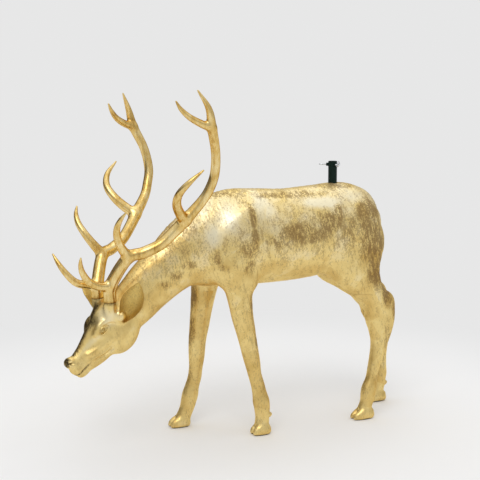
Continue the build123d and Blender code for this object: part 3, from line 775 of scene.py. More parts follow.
def horn_marks(points, side):
    """Worn streaks of the horn, 0..1, with a dark ring at the seat of the antler."""
    x, y, z = points.T
    u, v, _ = to_head(x, y, z)
    seat = bump(z, 629, 5) * bump(np.hypot(u - PEDICLE_U, v - side * PEDICLE_V), 26, 8)
    streak = noise(x / 5 + 3, y / 5 + 8, z / 34 + 2)
    return np.clip(0.6 * streak + 0.8 * seat, 0, 1)


def patches(x, z, rows):
    """Strength of the soft-edged patches of a table at each point, seen from the side."""
    out = np.zeros_like(x)
    for px, pz, sx, sz, amount in rows:
        reach = ((x - px) / sx) ** 2 + ((z - pz) / sz) ** 2
        out = np.maximum(out, amount * np.exp(-(reach**1.6)))
    return out


BROWN_PATCHES = [
    # x, z, spread along, spread up, amount
    (0, 930, 20, 60, 1.1),
    (2, 830, 24, 70, 1.1),
    (-28, 800, 40, 50, 1.0),
    (-20, 720, 30, 40, 0.9),
    (-64, 880, 30, 60, 0.6),
    (-157, 775, 18, 46, 0.95),
    (-140, 730, 40, 16, 0.7),
    (230, 850, 150, 56, 1.15),
    (120, 828, 90, 44, 0.95),
    (340, 885, 80, 56, 1.1),
    (400, 915, 22, 70, 1.1),
    (450, 850, 60, 100, 0.9),
    (550, 900, 90, 100, 1.15),
    (570, 790, 90, 120, 1.25),
    (585, 670, 62, 90, 1.15),
    (640, 570, 36, 80, 1.15),
    (700, 480, 30, 60, 1.0),
    (655, 350, 30, 110, 0.6),
    (745, 330, 50, 160, 0.7),
    (190, 1004, 220, 16, 1.0),
    (-60, 1018, 140, 20, 0.8),
    (450, 1030, 140, 18, 0.8),
    (300, 1000, 40, 30, 0.7),
    (-4, 560, 20, 70, 0.8),
    (26, 420, 22, 90, 0.8),
    (58, 250, 22, 90, 0.7),
    (-188, 570, 22, 80, 1.1),
    (-192, 430, 22, 90, 0.9),
    (-212, 280, 34, 90, 0.8),
    (-290, 890, 130, 26, 0.7),
    # The last three rows darken a band along the middle of the neck.
    (-385, 672, 40, 22, 0.75),
    (-335, 708, 42, 24, 0.8),
    (-280, 748, 44, 26, 0.8),
]
# Painted highlights: paler patches where light falls on the back, the shoulder and the low neck; x, z, spread
# along, spread up, amount.
PAINTED_HIGHLIGHT_PATCHES = [
    (-206, 985, 60, 44, 0.55),
    (-176, 850, 36, 46, 0.7),
    (-100, 940, 60, 50, 0.5),
    (330, 968, 84, 22, 0.8),
    (60, 955, 50, 44, 0.6),
    (500, 985, 50, 30, 0.4),
    (-385, 608, 34, 20, 0.55),
    (-335, 640, 40, 22, 0.55),
    (-285, 676, 40, 24, 0.5),
]


def face_tone(u, v, z):
    """Dark mask and painted highlights of the face: painted shade over the brow and the far side of the nose
    bridge, the dark nose pad, darker eye sockets, mouth line and nostrils, and a dark ring at the seat of each
    antler; painted highlights on the lit left side of the forehead and the nose.
    """
    s = -(u + 458) * cos(NOSE_DIP) - (z - 500) * sin(NOSE_DIP)
    h = -(u + 458) * sin(NOSE_DIP) + (z - 500) * cos(NOSE_DIP)
    # Painted shade: the nose bridge and the brow are darkened from the midline across the far, right side.
    bridge = ramp(v, -20, -2) * ramp(h, 30, 50) * ramp(s, -70, -20) * (1 - ramp(s, 176, 190))
    brow = bump(s, 30, 34) * bump(h, 92, 20) * ramp(v, -44, -16) * 0.9
    pad = ramp(s, 194, 203) * ramp(h, 38, 48) * (1 - ramp(np.abs(v), 17, 24))
    socket = bump(s, 35, 22) * bump(h, 58, 15) * bump(np.abs(v), 56, 12) * 0.45
    mouth = bump(h, -5, 3.5) * ramp(s, 152, 168) * 0.8
    nostril = bump(s, 201, 9) * bump(h, 47, 6) * bump(np.abs(v), 29, 7) * 0.9
    seam = bump(np.hypot(u - PEDICLE_U, np.abs(v) - PEDICLE_V), 27, 5) * ramp(z, 612, 626) * 0.8
    dark = np.maximum.reduce([bridge, brow, pad, socket, mouth, nostril, seam])
    # Painted highlights on the lit left side of the forehead and the nose.
    bright = np.maximum(bump(s, -20, 40) * bump(h, 80, 30), bump(s, 110, 60) * bump(h, 50, 14))
    bright = bright * ramp(-v, 8, 24)
    return dark, bright


def paint(obj, **layers):
    """Stores values of the points under names that the materials read."""
    for name, values in layers.items():
        layer = obj.data.attributes.new(name, "FLOAT", "POINT")
        layer.data.foreach_set("value", np.asarray(values, np.float32))


def finish_casting(name, body, nodes, material, relief=1.0):
    """Puts chisel marks, patina and painted highlights on a cast piece, and on the head the face's dark glaze
    and painted shade, and stands it in for its CAD nodes.
    """
    points, faces = PIECES[name]
    normals = vertex_normals(points, faces)
    marks = coat(points)
    x, y, z = points.T
    u, v, _ = to_head(x, y, z)
    # Painted highlights: patches painted paler where light falls; they also thin the brown and the chisel marks
    # there.
    painted_highlight_mask = patches(x, z, PAINTED_HIGHLIGHT_PATCHES)
    ragged = 0.62 + 0.55 * noise(x / 30 + 2, y / 42 + 60, z / 46 + 30)
    ragged = ragged + 0.2 * noise(x / 11, y / 11 + 20, z / 24 + 9)
    ground = 0.16 + 0.3 * ramp(z, 680, 790)
    brown = np.clip(np.maximum(ground, patches(x, z, BROWN_PATCHES)) * ragged * (1 - 0.75 * painted_highlight_mask), 0, 1)
    glaze = np.zeros_like(x)
    if name == "head":
        # On the head, the face's dark glaze and painted shade, and its own painted highlights, take the place
        # of the patches.
        glaze, painted_highlight_mask = face_tone(u, v, z)
        brown = 0.25 * brown + 0.3 * glaze
    depth = relief * (0.5 + 1.3 * brown) * (1 - 0.6 * painted_highlight_mask)
    depth = depth * ramp(z, 20, 60)
    points = points + normals * ((marks - 0.5) * 2 * depth)[:, None]
    obj = make_object(name + "_cast", points, faces)
    paint(obj, marks=marks, brown=brown, bright=painted_highlight_mask, glaze=glaze)
    obj.data.materials.append(material)
    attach(obj, body)
    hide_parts(*nodes)
    return obj


# ------------------------------------------------------------------ small parts
def quads_of(sheet, start=0):
    """Faces of a sheet of points that closes round its columns."""
    rows, cols = sheet.shape[:2]
    index = start + np.arange(rows * cols).reshape(rows, cols)
    ring = np.roll(index, -1, axis=1)
    return np.stack([index[:-1], ring[:-1], ring[1:], index[1:]], axis=-1).reshape(-1, 4)


def skin_object(name, sheets, material, body, nodes):
    """One object from sheets of points (rows, columns, 3), each closed round its columns."""
    points, faces, start = [], [], 0
    for sheet in sheets:
        points.append(sheet.reshape(-1, 3))
        faces.append(quads_of(sheet, start))
        start += len(points[-1])
    obj = make_object(name, np.vstack(points), np.vstack(faces))
    obj.data.materials.append(material)
    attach(obj, body)
    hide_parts(*nodes)
    return obj


def tube_sheet(centres, radii, first, second, n=20):
    """Rings of n points round each centre, in the plane of two unit directions given per ring."""
    turn = np.linspace(0, 2 * pi, n, endpoint=False)
    ring = first[:, None, :] * np.cos(turn)[None, :, None] + second[:, None, :] * np.sin(turn)[None, :, None]
    return centres[:, None, :] + ring * np.asarray(radii)[:, None, None]


def lathe(profile, origin, axis, n=48):
    """Turned shape from (radius, distance along the axis) pairs."""
    axis = np.array(axis, float)
    first = np.array([0.0, 0.0, 1.0]) if abs(axis[2]) < 0.9 else np.array([1.0, 0.0, 0.0])
    second = np.cross(axis, first)
    profile = np.array(profile, float)
    centres = np.array(origin, float) + profile[:, 1:] * axis
    count = len(profile)
    return tube_sheet(centres, profile[:, 0], np.tile(first, (count, 1)), np.tile(second, (count, 1)), n)


def bent_wire(path, radius, flat, n=16):
    """Round wire along a path that lies in the plane square to a direction, with rounded ends."""
    path = np.array(path, float)
    run = np.gradient(path, axis=0)
    run /= np.linalg.norm(run, axis=1)[:, None]
    first = np.tile(flat, (len(path), 1))
    second = np.cross(run, first)
    radii = np.full(len(path), radius)
    for i, share in enumerate((0.05, 0.6, 0.87)):
        radii[i] = radii[-1 - i] = radius * share
    return tube_sheet(path, radii, first, second, n)


def sleeve():
    """Drawn tube with a broken inner edge and a rounded mouth."""
    profile = [(19, SADDLE_TOP), (19, 900), (19, 1000), (19, 1060), (19, 1100), (19, 1120), (19, 1128.2)]
    profile += [(18.8, 1129.6), (18.3, 1130.6), (17.6, 1131), (16.9, 1130.7), (16.4, 1129.6), (16.15, 1127.5)]
    profile += [(16.05, 1110), (16.05, 1000), (16.05, 850), (16.05, SADDLE_TOP), (19, SADDLE_TOP)]
    return [lathe(profile, (POLE_X, 0, 0), (0, 0, 1), 72)]


def weld(obj, gap, close=False):
    """Joins the seams of a mesh, closes its ends if asked and turns its faces outwards."""
    mesh = bmesh.new()
    mesh.from_mesh(obj.data)
    bmesh.ops.remove_doubles(mesh, verts=mesh.verts, dist=gap)
    if close:
        bmesh.ops.holes_fill(mesh, edges=mesh.edges, sides=0)
    bmesh.ops.recalc_face_normals(mesh, faces=mesh.faces)
    mesh.to_mesh(obj.data)
    mesh.free()


def drill(tube):
    """Clearance holes through the wall of the sleeve for the three screws."""
    weld(tube, 1e-6)
    for angle, _ in SCREWS:
        origin, out, _, _ = screw_frame(angle)
        bit = lathe([(0.01, 12.0), (3.2, 12.0), (3.2, 24.0), (0.01, 24.0)], origin, out, 40)
        cutter = make_object("drill_bit", bit.reshape(-1, 3), quads_of(bit))
        weld(cutter, 3e-5, close=True)
        hole = tube.modifiers.new("hole", "BOOLEAN")
        hole.object = cutter
        hole.operation = "DIFFERENCE"
        hole.solver = "EXACT"
        drilled = tube.evaluated_get(bpy.context.evaluated_depsgraph_get())
        drilled = bpy.data.meshes.new_from_object(drilled)
        tube.modifiers.remove(hole)
        tube.data = drilled
        bpy.data.objects.remove(cutter)
    tube.data.set_sharp_from_angle(angle=radians(40))


def screw_frame(angle):
    out = np.array([cos(radians(angle)), sin(radians(angle)), 0.0])
    up = np.array([0.0, 0.0, 1.0])
    return np.array([POLE_X, 0, SCREW_Z]), out, up, np.cross(out, up)


# Profiles: radius or half width, and distance along the axis.
NUT = (
    (3.15, 27.2), (3.15, 20), (6.2, 17.2), (7.0, 18.5), (7.0, 26.6),
    (6.6, 27.4), (6.05, 28.0), (3.9, 28.0), (3.15, 27.2),
)
TIP = (
    (0.05, 16.2), (1.4, 16.22), (2.1, 16.45), (2.4, 16.9), (2.4, 18.5),
    (2.2, 18.8), (1.3, 18.8), (1.27, 17.3), (0.05, 17.2),
)
PAD = (
    (0.02, 0.5), (0.3, 0.5), (0.34, 0.0), (0.52, 0.0), (0.56, 0.5), (0.64, 0.5), (0.68, 0.0),
    (0.88, 0.0), (0.97, 0.5), (1.0, 1.4), (1.0, 2.6), (0.96, 3.3), (0.02, 3.3),
)
BULKHEAD = (
    (0.01, 1), (0.24, 1), (0.30, 3), (0.72, 3), (0.80, 0), (0.96, 0), (1.0, 1.5),
    (1.0, 6.5), (0.96, 8), (0.80, 8), (0.72, 10.5), (0.30, 10.5), (0.24, 8), (0.01, 8),
)


def hex_nut(angle):
    """Weld nut with chamfered corners, standing in a rippled bead on the tube."""
    origin, out, up, across = screw_frame(angle)
    turn = np.linspace(0, 2 * pi, 72, endpoint=False)
    flat_r = 6.1 / np.cos((turn % (pi / 3)) - pi / 6)
    nut = []
    spokes = np.cos(turn)[:, None] * up + np.sin(turn)[:, None] * across
    for limit, place in NUT:
        nut.append(origin + place * out + np.minimum(flat_r, limit)[:, None] * spokes)
    bead = []
    for step in np.linspace(0, 2 * pi, 13):
        wide = 1.25 + 0.16 * np.cos(turn * 17)
        r = 7.1 + wide * np.cos(step)
        side = r * np.sin(turn)
        depth = np.sqrt(19.0**2 - side**2) + 0.2 + wide * np.sin(step)
        bead.append(origin + depth[:, None] * out + (r * np.cos(turn))[:, None] * up + side[:, None] * across)
    return [np.array(nut), np.array(bead)]


def eye_bolt(angle, spin):
    """M6 shank with a cut thread and an eye of bent wire whose end meets the shank."""
    origin, out, up, across = screw_frame(angle)
    place = np.arange(18.8, 42.05, 0.11)
    turn = np.linspace(0, 2 * pi, 24, endpoint=False)
    phase = (place[:, None] + turn[None, :] / (2 * pi)) % 1.0
    crest = np.clip(np.abs(phase - 0.5) * 2.4 - 0.2, 0, 1)
    fade = ramp(place, 18.8, 20.2) * (1 - ramp(place, 37.5, 39))
    r = 2.95 - 0.55 * fade[:, None] * (1 - crest) - 0.9 * (1 - ramp(place, 18.8, 19.4))[:, None]
    ring = np.cos(turn)[None, :, None] * up + np.sin(turn)[None, :, None] * across
    shank = origin + place[:, None, None] * out + r[:, :, None] * ring
    end = shank[:1].mean(1, keepdims=True) * np.ones((1, 24, 1))
    shank = np.concatenate([end, shank], axis=0)
    flat = up * cos(radians(spin)) + np.cross(out, up) * sin(radians(spin))
    edge = np.cross(flat, out)
    angles = np.radians(np.linspace(-90, 244, 60))
    path = origin + (49.0 + 8.0 * np.sin(angles))[:, None] * out + (8.0 * np.cos(angles))[:, None] * edge
    path = np.vstack([origin + 39.2 * out + 0.2 * edge, path])
    neck = lathe([(2.9, 37.5), (2.75, 39.5), (2.5, 41), (1.9, 42.4), (0.05, 43)], origin, out, 24)
    spigot = lathe([(0.05, 17.15), (1.0, 17.2), (1.2, 17.4), (1.2, 19)], origin, out, 16)
    return [shank, bent_wire(path, 2.2, flat), neck, spigot]


def nylon_tip(angle):
    """Swivelling tip of a screw, hollow for its spigot."""
    origin, out, _, _ = screw_frame(angle)
    return [lathe(TIP, origin, out, 28)]


def pad_sheet(x, y, half_x, half_y):
    """Thin rubber pad with a rounded edge and three grooves round its sole."""
    turn = np.linspace(0, 2 * pi, 56, endpoint=False)
    shape = np.stack([half_x * np.cos(turn), half_y * np.sin(turn), np.zeros_like(turn)], axis=1)
    rows = []
    for share, z in PAD:
        rows.append(shape * share + np.array([x, y, z]))
    return np.array(rows)[:, ::-1]


def bulkhead():
    """Oval plate inside the top of the neck, dished at the middle, with a rolled edge."""
    tilt = radians(46.0)
    turn = np.linspace(0, 2 * pi, 64, endpoint=False)
    rows = []
    for share, lift in BULKHEAD:
        crest = 74 * share * np.cos(turn) + 12
        u = -402 - lift * cos(tilt) - crest * sin(tilt)
        z = 551 - lift * sin(tilt) + crest * cos(tilt)
        rows.append(to_body(u, 54 * share * np.sin(turn), z).T)
    return [np.array(rows)]


def ear_sheet(run, side, turn_out):
    """A cupped leaf: an outer and an inner skin joined round the rim, with combed hair lines inside.

    run: rows of u, v, z and half width from the root to the tip; turn_out turns the hollow side outwards.
    """
    rows = dense(run, 12)
    centre = np.stack([rows[:, 0], side * rows[:, 1], rows[:, 2]], axis=1)
    count = len(rows)
    axis = np.gradient(centre, axis=0)
    axis /= np.linalg.norm(axis, axis=1)[:, None]
    hollow = np.array([-cos(radians(turn_out)), side * sin(radians(turn_out)), -0.05])
    hollow = hollow - axis * (axis @ hollow)[:, None]
    hollow /= np.linalg.norm(hollow, axis=1)[:, None]
    across = np.cross(axis, hollow)
    share = np.linspace(0, 1, count)
    wide = np.maximum(rows[:, 3], 1.0)
    half_turn = np.radians(np.interp(share, [0, 0.15, 0.4, 0.75, 1], [150, 112, 74, 58, 48]))
    radius = wide / np.sin(np.minimum(half_turn, pi / 2))
    thick = np.interp(share, [0, 0.5, 1], [5.0, 3.6, 1.6])
    columns = []
    steps = 44
    for skin, span in ((-1, np.linspace(-1, 1, steps)), (1, np.linspace(1, -1, steps))):
        for q in span:
            phi = half_turn * q
            comb = np.sin(q * 34 + 5 * share + 1.3 * np.sin(9 * share)) * 0.8 * (1 - abs(q)) ** 0.5
            comb = comb + 1.5 * np.exp(-((q / 0.07) ** 2)) - 1.1 * np.exp(-(((abs(q) - 0.86) / 0.08) ** 2))
            comb = comb * np.clip(np.minimum(share * 6, (1 - share) * 6), 0, 1) if skin > 0 else 0.5 * comb
            inset = skin * thick / 2 * max(0.0, 1 - abs(q) ** 8) + skin * 0.35 * comb
            r = radius - inset
            point = centre + across * (r * np.sin(phi))[:, None]
            point = point - hollow * (r * np.cos(phi) - radius * 0.5 * (1 + np.cos(half_turn)))[:, None]
            columns.append(point)
    sheet = np.stack(columns, axis=1)
    u, v, z = sheet.reshape(-1, 3).T
    sheet = to_body(u, v, z).T.reshape(sheet.shape)
    return sheet[:, ::-1] if side == LEFT else sheet


LEFT_EAR = [
    (-444, 68, 556, 15),
    (-440, 84, 572, 21),
    (-434, 104, 600, 35),
    (-429, 124, 634, 44),
    (-424, 142, 668, 38),
    (-421, 153, 696, 22),
    (-420, 160, 717, 2),
]
RIGHT_EAR = [
    (-456, 68, 552, 15),
    (-462, 86, 566, 21),
    (-468, 110, 588, 34),
    (-474, 136, 615, 43),
    (-480, 158, 642, 37),
    (-484, 174, 664, 21),
    (-487, 187, 680, 2),
]


# ------------------------------------------------------------------ materials
class Tree:
    """A node tree, with short ways to add nodes to it."""

    def __init__(self, tree):
        self.nodes, self.links = tree.nodes, tree.links
        self.nodes.clear()

    def node(self, kind, inputs, **settings):
        """Adds a node, sets its properties, and feeds its inputs with values or sockets."""
        node = self.nodes.new("ShaderNode" + kind)
        for key, value in settings.items():
            setattr(node, key, value)
        for key, value in inputs.items():
            if isinstance(value, bpy.types.NodeSocket):
                self.links.new(value, node.inputs[key])
            else:
                node.inputs[key].default_value = value
        return node

    def value(self, kind, inputs, output=0, **settings):
        return self.node(kind, inputs, **settings).outputs[output]

    def math(self, operation, a, b=0.5, clamp=False):
        return self.value("Math", {0: a, 1: b}, operation=operation, use_clamp=clamp)

    def add(self, a, b):
        return self.math("ADD", a, b)

    def times(self, a, b, clamp=False):
        return self.math("MULTIPLY", a, b, clamp)

    def layer(self, name):
        return self.value("Attribute", {}, "Fac", attribute_name=name)

    def noise(self, vector, scale, detail, roughness=0.5):
        settings = {"Vector": vector, "Scale": scale, "Detail": detail, "Roughness": roughness}
        return self.value("TexNoise", settings)

    def span(self, source, start, end, low=0.0, high=1.0, **settings):
        return self.value("MapRange", {0: source, 1: start, 2: end, 3: low, 4: high}, **settings)

    def ramp(self, source, *stops):
        node = self.node("ValToRGB", {0: source})
        while len(node.color_ramp.elements) < len(stops):
            node.color_ramp.elements.new(0.5)
        for element, (place, colour) in zip(node.color_ramp.elements, stops):
            element.position = place
            element.color = (*colour, 1)
        return node.outputs[0]

    def mix(self, factor, a, b, blend="MIX"):
        return self.value("Mix", {"Factor": factor, 6: a, 7: b}, 2, data_type="RGBA", blend_type=blend)

    def relief(self, height, strength, distance):
        return self.value("Bump", {"Height": height, "Strength": strength, "Distance": distance})


def new_material(name, **looks):
    """A material, its tree, its shader inputs and the object coordinates; looks sets fixed shader inputs."""
    mat = bpy.data.materials.new(name)
    mat.use_nodes = True
    tree = Tree(mat.node_tree)
    shader = tree.node("BsdfPrincipled", {key.replace("_", " "): value for key, value in looks.items()})
    tree.node("OutputMaterial", {"Surface": shader.outputs[0]})
    return mat, tree, shader.inputs, tree.value("TexCoord", {}, "Object")


def grey(v):
    return (v, v, v)


GOLD_PALE = (0.96, 0.87, 0.62)
GOLD_MID = (0.88, 0.68, 0.28)
GOLD_DEEP = (0.66, 0.44, 0.13)
BROWN_WASH = (0.17, 0.085, 0.03, 1)
DARK_GLAZE_AND_SHADE = (0.035, 0.022, 0.012, 1)
HORN_TONES = ((0.3, (0.42, 0.23, 0.05)), (0.46, (0.76, 0.52, 0.17)), (0.64, (0.93, 0.74, 0.36)))
# Painted dark reflection for the rims of the antlers.
HORN_DARK_RIM_REFLECTION = (0.16, 0.075, 0.02, 1)


def gold_leaf(name, tint=(1, 1, 1), speckle=1.0, rough=0.36):
    """Worn gold leaf, painted paler high up and under painted highlights, with brown wash in the hair, and dark
    glaze and painted shade on the face.
    """
    mat, t, shader, where = new_material(name, Specular_Tint=(1.0, 0.86, 0.55, 1))
    brown, bright = t.layer("brown"), t.layer("bright")
    lie = t.value("Mapping", {"Vector": where, "Scale": (1.0, 1.0, 0.3), "Rotation": (0.0, 0.5, 0.0)})
    hair = t.noise(lie, 215.0, 6.0, 0.72)
    grain = t.noise(where, 150.0, 6.0, 0.75)
    cloud = t.noise(where, 9.0, 4.0, 0.6)
    sheets = t.value("TexVoronoi", {"Vector": where, "Scale": 16.0, "Randomness": 1.0}, "Color", feature="F1")
    sheets = t.value("SeparateColor", {"Color": sheets})
    height = t.value("SeparateXYZ", {0: where}, 2)

    tone = t.add(t.times(cloud, 0.75), t.times(sheets, 0.12))
    # Painted light: paler towards the top of the body and darker low down, as light falls from above.
    tone = t.add(tone, t.span(height, 0.68, 0.88, -0.08, 0.2))
    # Painted highlights, from the mask painted on the castings.
    tone = t.add(tone, t.times(bright, 0.3))
    tone = t.add(tone, t.times(brown, -0.22))
    colour = t.ramp(tone, (0.12, GOLD_DEEP), (0.40, GOLD_MID), (0.76, GOLD_PALE))

    wash = t.add(t.times(hair, 0.55), t.times(grain, 0.45))
    wash = t.add(wash, t.times(t.math("SUBTRACT", t.layer("marks"), 0.5), -0.22))
    cut = t.math("SUBTRACT", 0.56 - 0.03 * speckle, wash)
    amount = t.add(t.times(brown, 0.115), t.times(bright, -0.05))
    specks = t.times(t.math("SUBTRACT", amount, cut), 11.0, True)
    specks = t.times(specks, t.add(t.times(brown, 0.48), 0.27 * speckle), True)
    glaze = t.times(t.layer("glaze"), t.add(t.times(wash, 3.2), -0.75), True)
    colour = t.mix(specks, colour, BROWN_WASH)
    # Dark glaze and painted shade of the face.
    colour = t.mix(glaze, colour, DARK_GLAZE_AND_SHADE)
    colour = t.mix(1.0, colour, (*tint, 1), "MULTIPLY")
    dull = t.add(t.times(specks, 0.25), rough - 0.06)
    relief = t.relief(t.add(t.times(hair, 0.6), t.times(grain, 0.4)), 0.35, 0.0016)

    t.links.new(colour, shader["Base Color"])
    t.links.new(t.math("SUBTRACT", 0.92, t.times(specks, 0.55)), shader["Metallic"])
    t.links.new(t.add(t.times(grain, 0.16), dull), shader["Roughness"])
    t.links.new(relief, shader["Normal"])
    return mat


def horn_gold(name):
    """Smooth deep gold with long streaks, and a painted dark reflection on the rims where the surface turns
    away from the view.
    """
    mat, t, shader, where = new_material(name, Specular_Tint=(0.75, 0.50, 0.22, 1), Metallic=0.97)
    streak = t.noise(t.value("Mapping", {"Vector": where, "Scale": (1.0, 1.0, 0.15)}), 120.0, 3.0)
    tone = t.add(t.times(t.noise(where, 14.0, 5.0, 0.6), 0.7), t.times(streak, 0.3))
    tone = t.add(t.add(tone, t.times(t.layer("marks"), -0.16)), 0.05)
    edge = t.value("LayerWeight", {"Blend": 0.5}, "Facing")
    # Painted reflection: the rims that turn away from the view are painted dark.
    colour = t.mix(t.span(edge, 0.70, 0.98, 0.0, 0.8), t.ramp(tone, *HORN_TONES), HORN_DARK_RIM_REFLECTION)
    t.links.new(colour, shader["Base Color"])
    t.links.new(t.ramp(tone, (0.3, grey(0.30)), (0.7, grey(0.16))), shader["Roughness"])
    t.links.new(t.relief(streak, 0.15, 0.001), shader["Normal"])
    return mat


def plain(name, low, high, metal, rough, scale=120.0, strength=0.1, specular=0.5):
    """A noise-mottled surface between two colours and two roughnesses, for steel, rubber and nylon."""
    mat, t, shader, where = new_material(name, Metallic=metal, Specular_IOR_Level=specular)
    mottle = t.noise(where, scale, 5.0, 0.65)
    t.links.new(t.ramp(mottle, (0.35, low), (0.65, high)), shader["Base Color"])
    t.links.new(t.ramp(mottle, (0.3, grey(rough[0])), (0.7, grey(rough[1]))), shader["Roughness"])
    t.links.new(t.relief(mottle, strength, 0.0005), shader["Normal"])
    return mat


LEAF = gold_leaf("gold_leaf")
EAR_LEAF = gold_leaf("ear_leaf", (0.86, 0.84, 0.70), 0.9, 0.44)
HORN = horn_gold("horn_gold")
GREEN = plain("green_paint", (0.003, 0.012, 0.008), (0.006, 0.020, 0.013), 0.0, (0.28, 0.45), specular=0.14)
ZINC = plain("zinc_plate", (0.55, 0.57, 0.60), (0.80, 0.82, 0.84), 1.0, (0.18, 0.34), 300.0)
STEEL = plain("drawn_steel", (0.42, 0.43, 0.45), (0.62, 0.63, 0.65), 1.0, (0.25, 0.42), 200.0)
PRIMER = plain("black_primer", (0.02, 0.02, 0.022), (0.05, 0.05, 0.05), 0.0, (0.5, 0.7), 90.0, 0.3)
NYLON = plain("nylon", (0.78, 0.77, 0.70), (0.86, 0.85, 0.80), 0.0, (0.4, 0.55), 200.0)
RUBBER = plain("rubber", (0.015, 0.015, 0.015), (0.04, 0.038, 0.035), 0.0, (0.6, 0.85), 220.0, 0.3)
NODE_MATERIALS = (
    # the first word found in a node's name decides, so the hidden rear_cross_plate takes the one for ear
    ("peg", STEEL), ("socket", STEEL), ("screw_tip", NYLON), ("eye_screw", ZINC), ("saddle_bolts", ZINC),
    ("saddle_nuts", ZINC), ("pole_sleeve", GREEN), ("sleeve_nuts", GREEN), ("foot_pads", RUBBER),
    ("shell", LEAF), ("leg", LEAF), ("ear", LEAF), ("tail", LEAF), ("antler", HORN), ("", PRIMER),
)


# ------------------------------------------------------------------ assembly
for node_name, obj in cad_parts.items():
    obj.data.materials.clear()
    obj.data.materials.append(next(material for word, material in NODE_MATERIALS if word in node_name))

finish_casting("front_body", "statue", ["front_body_shell"], LEAF)
finish_casting("rear_body", "statue", ["rear_body_shell"], LEAF)
finish_casting("neck", "statue", ["neck_shell"], LEAF, 0.8)
finish_casting("head", "statue", ["head_shell"], LEAF, 0.35)
for limb in ("left_front_leg", "right_front_leg", "left_hind_leg", "right_hind_leg"):
    finish_casting(limb, "statue", [limb], LEAF, 0.5)
finish_casting("tail", "statue", ["tail"], LEAF, 0.9)
for antler_name, side in (("left_antler", LEFT), ("right_antler", RIGHT)):
    points, faces = PIECES[antler_name]
    horn = make_object(antler_name + "_horn", points, faces)
    horn.data.materials.append(HORN)
    paint(horn, marks=horn_marks(points, side))
    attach(horn, antler_name + "_unit")
    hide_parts(antler_name)

ears = (("left_ear", LEFT_EAR, LEFT, 52.0), ("right_ear", RIGHT_EAR, RIGHT, 40.0))
for ear_name, run, side, turn_out in ears:
    sheets = [ear_sheet(run, side, turn_out)]
    ear = skin_object(ear_name + "_leaf", sheets, EAR_LEAF, "statue", [ear_name])
    count = len(ear.data.vertices)
    paint(ear, marks=np.full(count, 0.5), brown=np.full(count, 0.3), bright=np.zeros(count))
tube = skin_object("pole_sleeve_tube", sleeve(), GREEN, "statue", ["pole_sleeve"])
drill(tube)
nuts = [sheet for angle, _ in SCREWS for sheet in hex_nut(angle)]
skin_object("sleeve_weld_nuts", nuts, GREEN, "statue", ["sleeve_nuts"])
for number, (angle, spin) in enumerate(SCREWS, 1):
    bolt, tip = f"eye_bolt_{number}", f"nylon_tip_{number}"
    skin_object(bolt, eye_bolt(angle, spin), ZINC, f"screw_{number}", [f"eye_screw_{number}"])
    skin_object(tip, nylon_tip(angle), NYLON, f"tip_{number}", [f"screw_tip_{number}"])
soles = []
for toe, heel, y in FEET.values():
    middle = (toe + heel) / 2
    for claw in (LEFT, RIGHT):
        soles.append(pad_sheet(middle - 1, y + claw * 15, (heel - toe) / 2 - 7, 12))
skin_object("neck_bulkhead_plate", bulkhead(), PRIMER, "statue", ["head_bulkhead"])
skin_object("claw_pads", soles, RUBBER, "statue", ["foot_pads"])


# ------------------------------------------------------------------ studio
def make_floor():
    """Pale matt floor that fades into the backdrop away from the object."""
    mesh = bpy.data.meshes.new("floor")
    build = bmesh.new()
    bmesh.ops.create_grid(build, x_segments=8, y_segments=8, size=30.0)
    build.to_mesh(mesh)
    build.free()
    floor = bpy.data.objects.new("floor", mesh)
    bpy.context.scene.collection.objects.link(floor)
    mat, t, shader, where = new_material("floor_paint", Roughness=1.0, Specular_IOR_Level=0.0)
    mottle = t.ramp(t.noise(where, 3.0, 3.0), (0.0, grey(0.865)), (1.0, grey(0.875)))
    t.links.new(mottle, shader["Base Color"])
    reach = t.value("VectorMath", {0: where}, "Value", operation="LENGTH")
    far = t.span(reach, 1.1, 2.4, interpolation_type="SMOOTHSTEP")
    glow = t.value("Emission", {"Color": (*grey(BACKDROP), 1)})
    out = next(node for node in t.nodes if node.type == "OUTPUT_MATERIAL")
    matt = out.inputs["Surface"].links[0].from_socket
    t.links.new(t.value("MixShader", {0: far, 1: matt, 2: glow}), out.inputs["Surface"])
    floor.data.materials.append(mat)


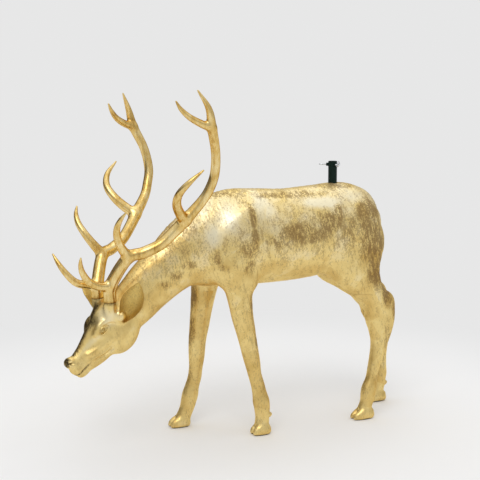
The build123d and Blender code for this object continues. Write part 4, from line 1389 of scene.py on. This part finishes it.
def make_world():
    """Soft light from above with a dark flag behind the object; the camera sees an even backdrop."""
    world = bpy.data.worlds.new("studio")
    bpy.context.scene.world = world
    world.use_nodes = True
    t = Tree(world.node_tree)
    ray = t.value("TexCoord", {}, "Generated")
    height = t.value("SeparateXYZ", {0: ray}, 2)
    sky = t.ramp(height, (0.0, grey(0.46)), (0.25, grey(0.56)), (0.55, grey(0.72)), (0.9, grey(1.0)))
    behind = t.value("VectorMath", {0: ray, 1: (-0.78, 0.62, 0.0)}, "Value", operation="DOT_PRODUCT")
    flag = t.span(behind, 0.3, 0.75, interpolation_type="SMOOTHSTEP")
    low = t.span(height, 0.62, 0.25, interpolation_type="SMOOTHSTEP")
    flag = t.times(t.times(flag, low), 0.85)
    lit = t.value("Background", {"Color": t.mix(flag, sky, (0.06, 0.055, 0.05, 1)), "Strength": 1.0})
    seen = t.value("Background", {"Color": (*grey(BACKDROP), 1)})
    to_camera = t.value("LightPath", {}, "Is Camera Ray")
    t.node("OutputWorld", {0: t.value("MixShader", {0: to_camera, 1: lit, 2: seen})})


def make_lamp(name, place, spread, strength):
    """Soft sun that shines from a place towards the origin."""
    data = bpy.data.lights.new(name, "SUN")
    data.angle = radians(spread)
    data.energy = strength
    lamp = bpy.data.objects.new(name, data)
    lamp.rotation_euler = (-Vector(place)).to_track_quat("-Z", "Y").to_euler()
    bpy.context.scene.collection.objects.link(lamp)


def make_camera():
    data = bpy.data.cameras.new("camera")
    data.sensor_width = 36.0
    data.lens = data.sensor_width * CAMERA_DISTANCE / FRAME_WIDTH
    cam = bpy.data.objects.new("camera", data)
    shift = Vector((SHIFT[0], SHIFT[1], 0))
    target = Vector((0, 0, CAMERA_AIM_Z)) + shift
    turn = radians(CAMERA_TURN)
    cam.location = Vector((CAMERA_DISTANCE * sin(turn), -CAMERA_DISTANCE * cos(turn), CAMERA_HEIGHT)) + shift
    cam.rotation_euler = (target - cam.location).to_track_quat("-Z", "Y").to_euler()
    bpy.context.scene.collection.objects.link(cam)
    bpy.context.scene.camera = cam


make_floor()
make_world()
make_lamp("key", (-1.6, -2.4, 3.4), 34.0, 0.62)
make_lamp("top", (0.8, 0.9, 3.2), 50.0, 0.28)
make_camera()
bpy.context.scene.view_settings.view_transform = "Standard"
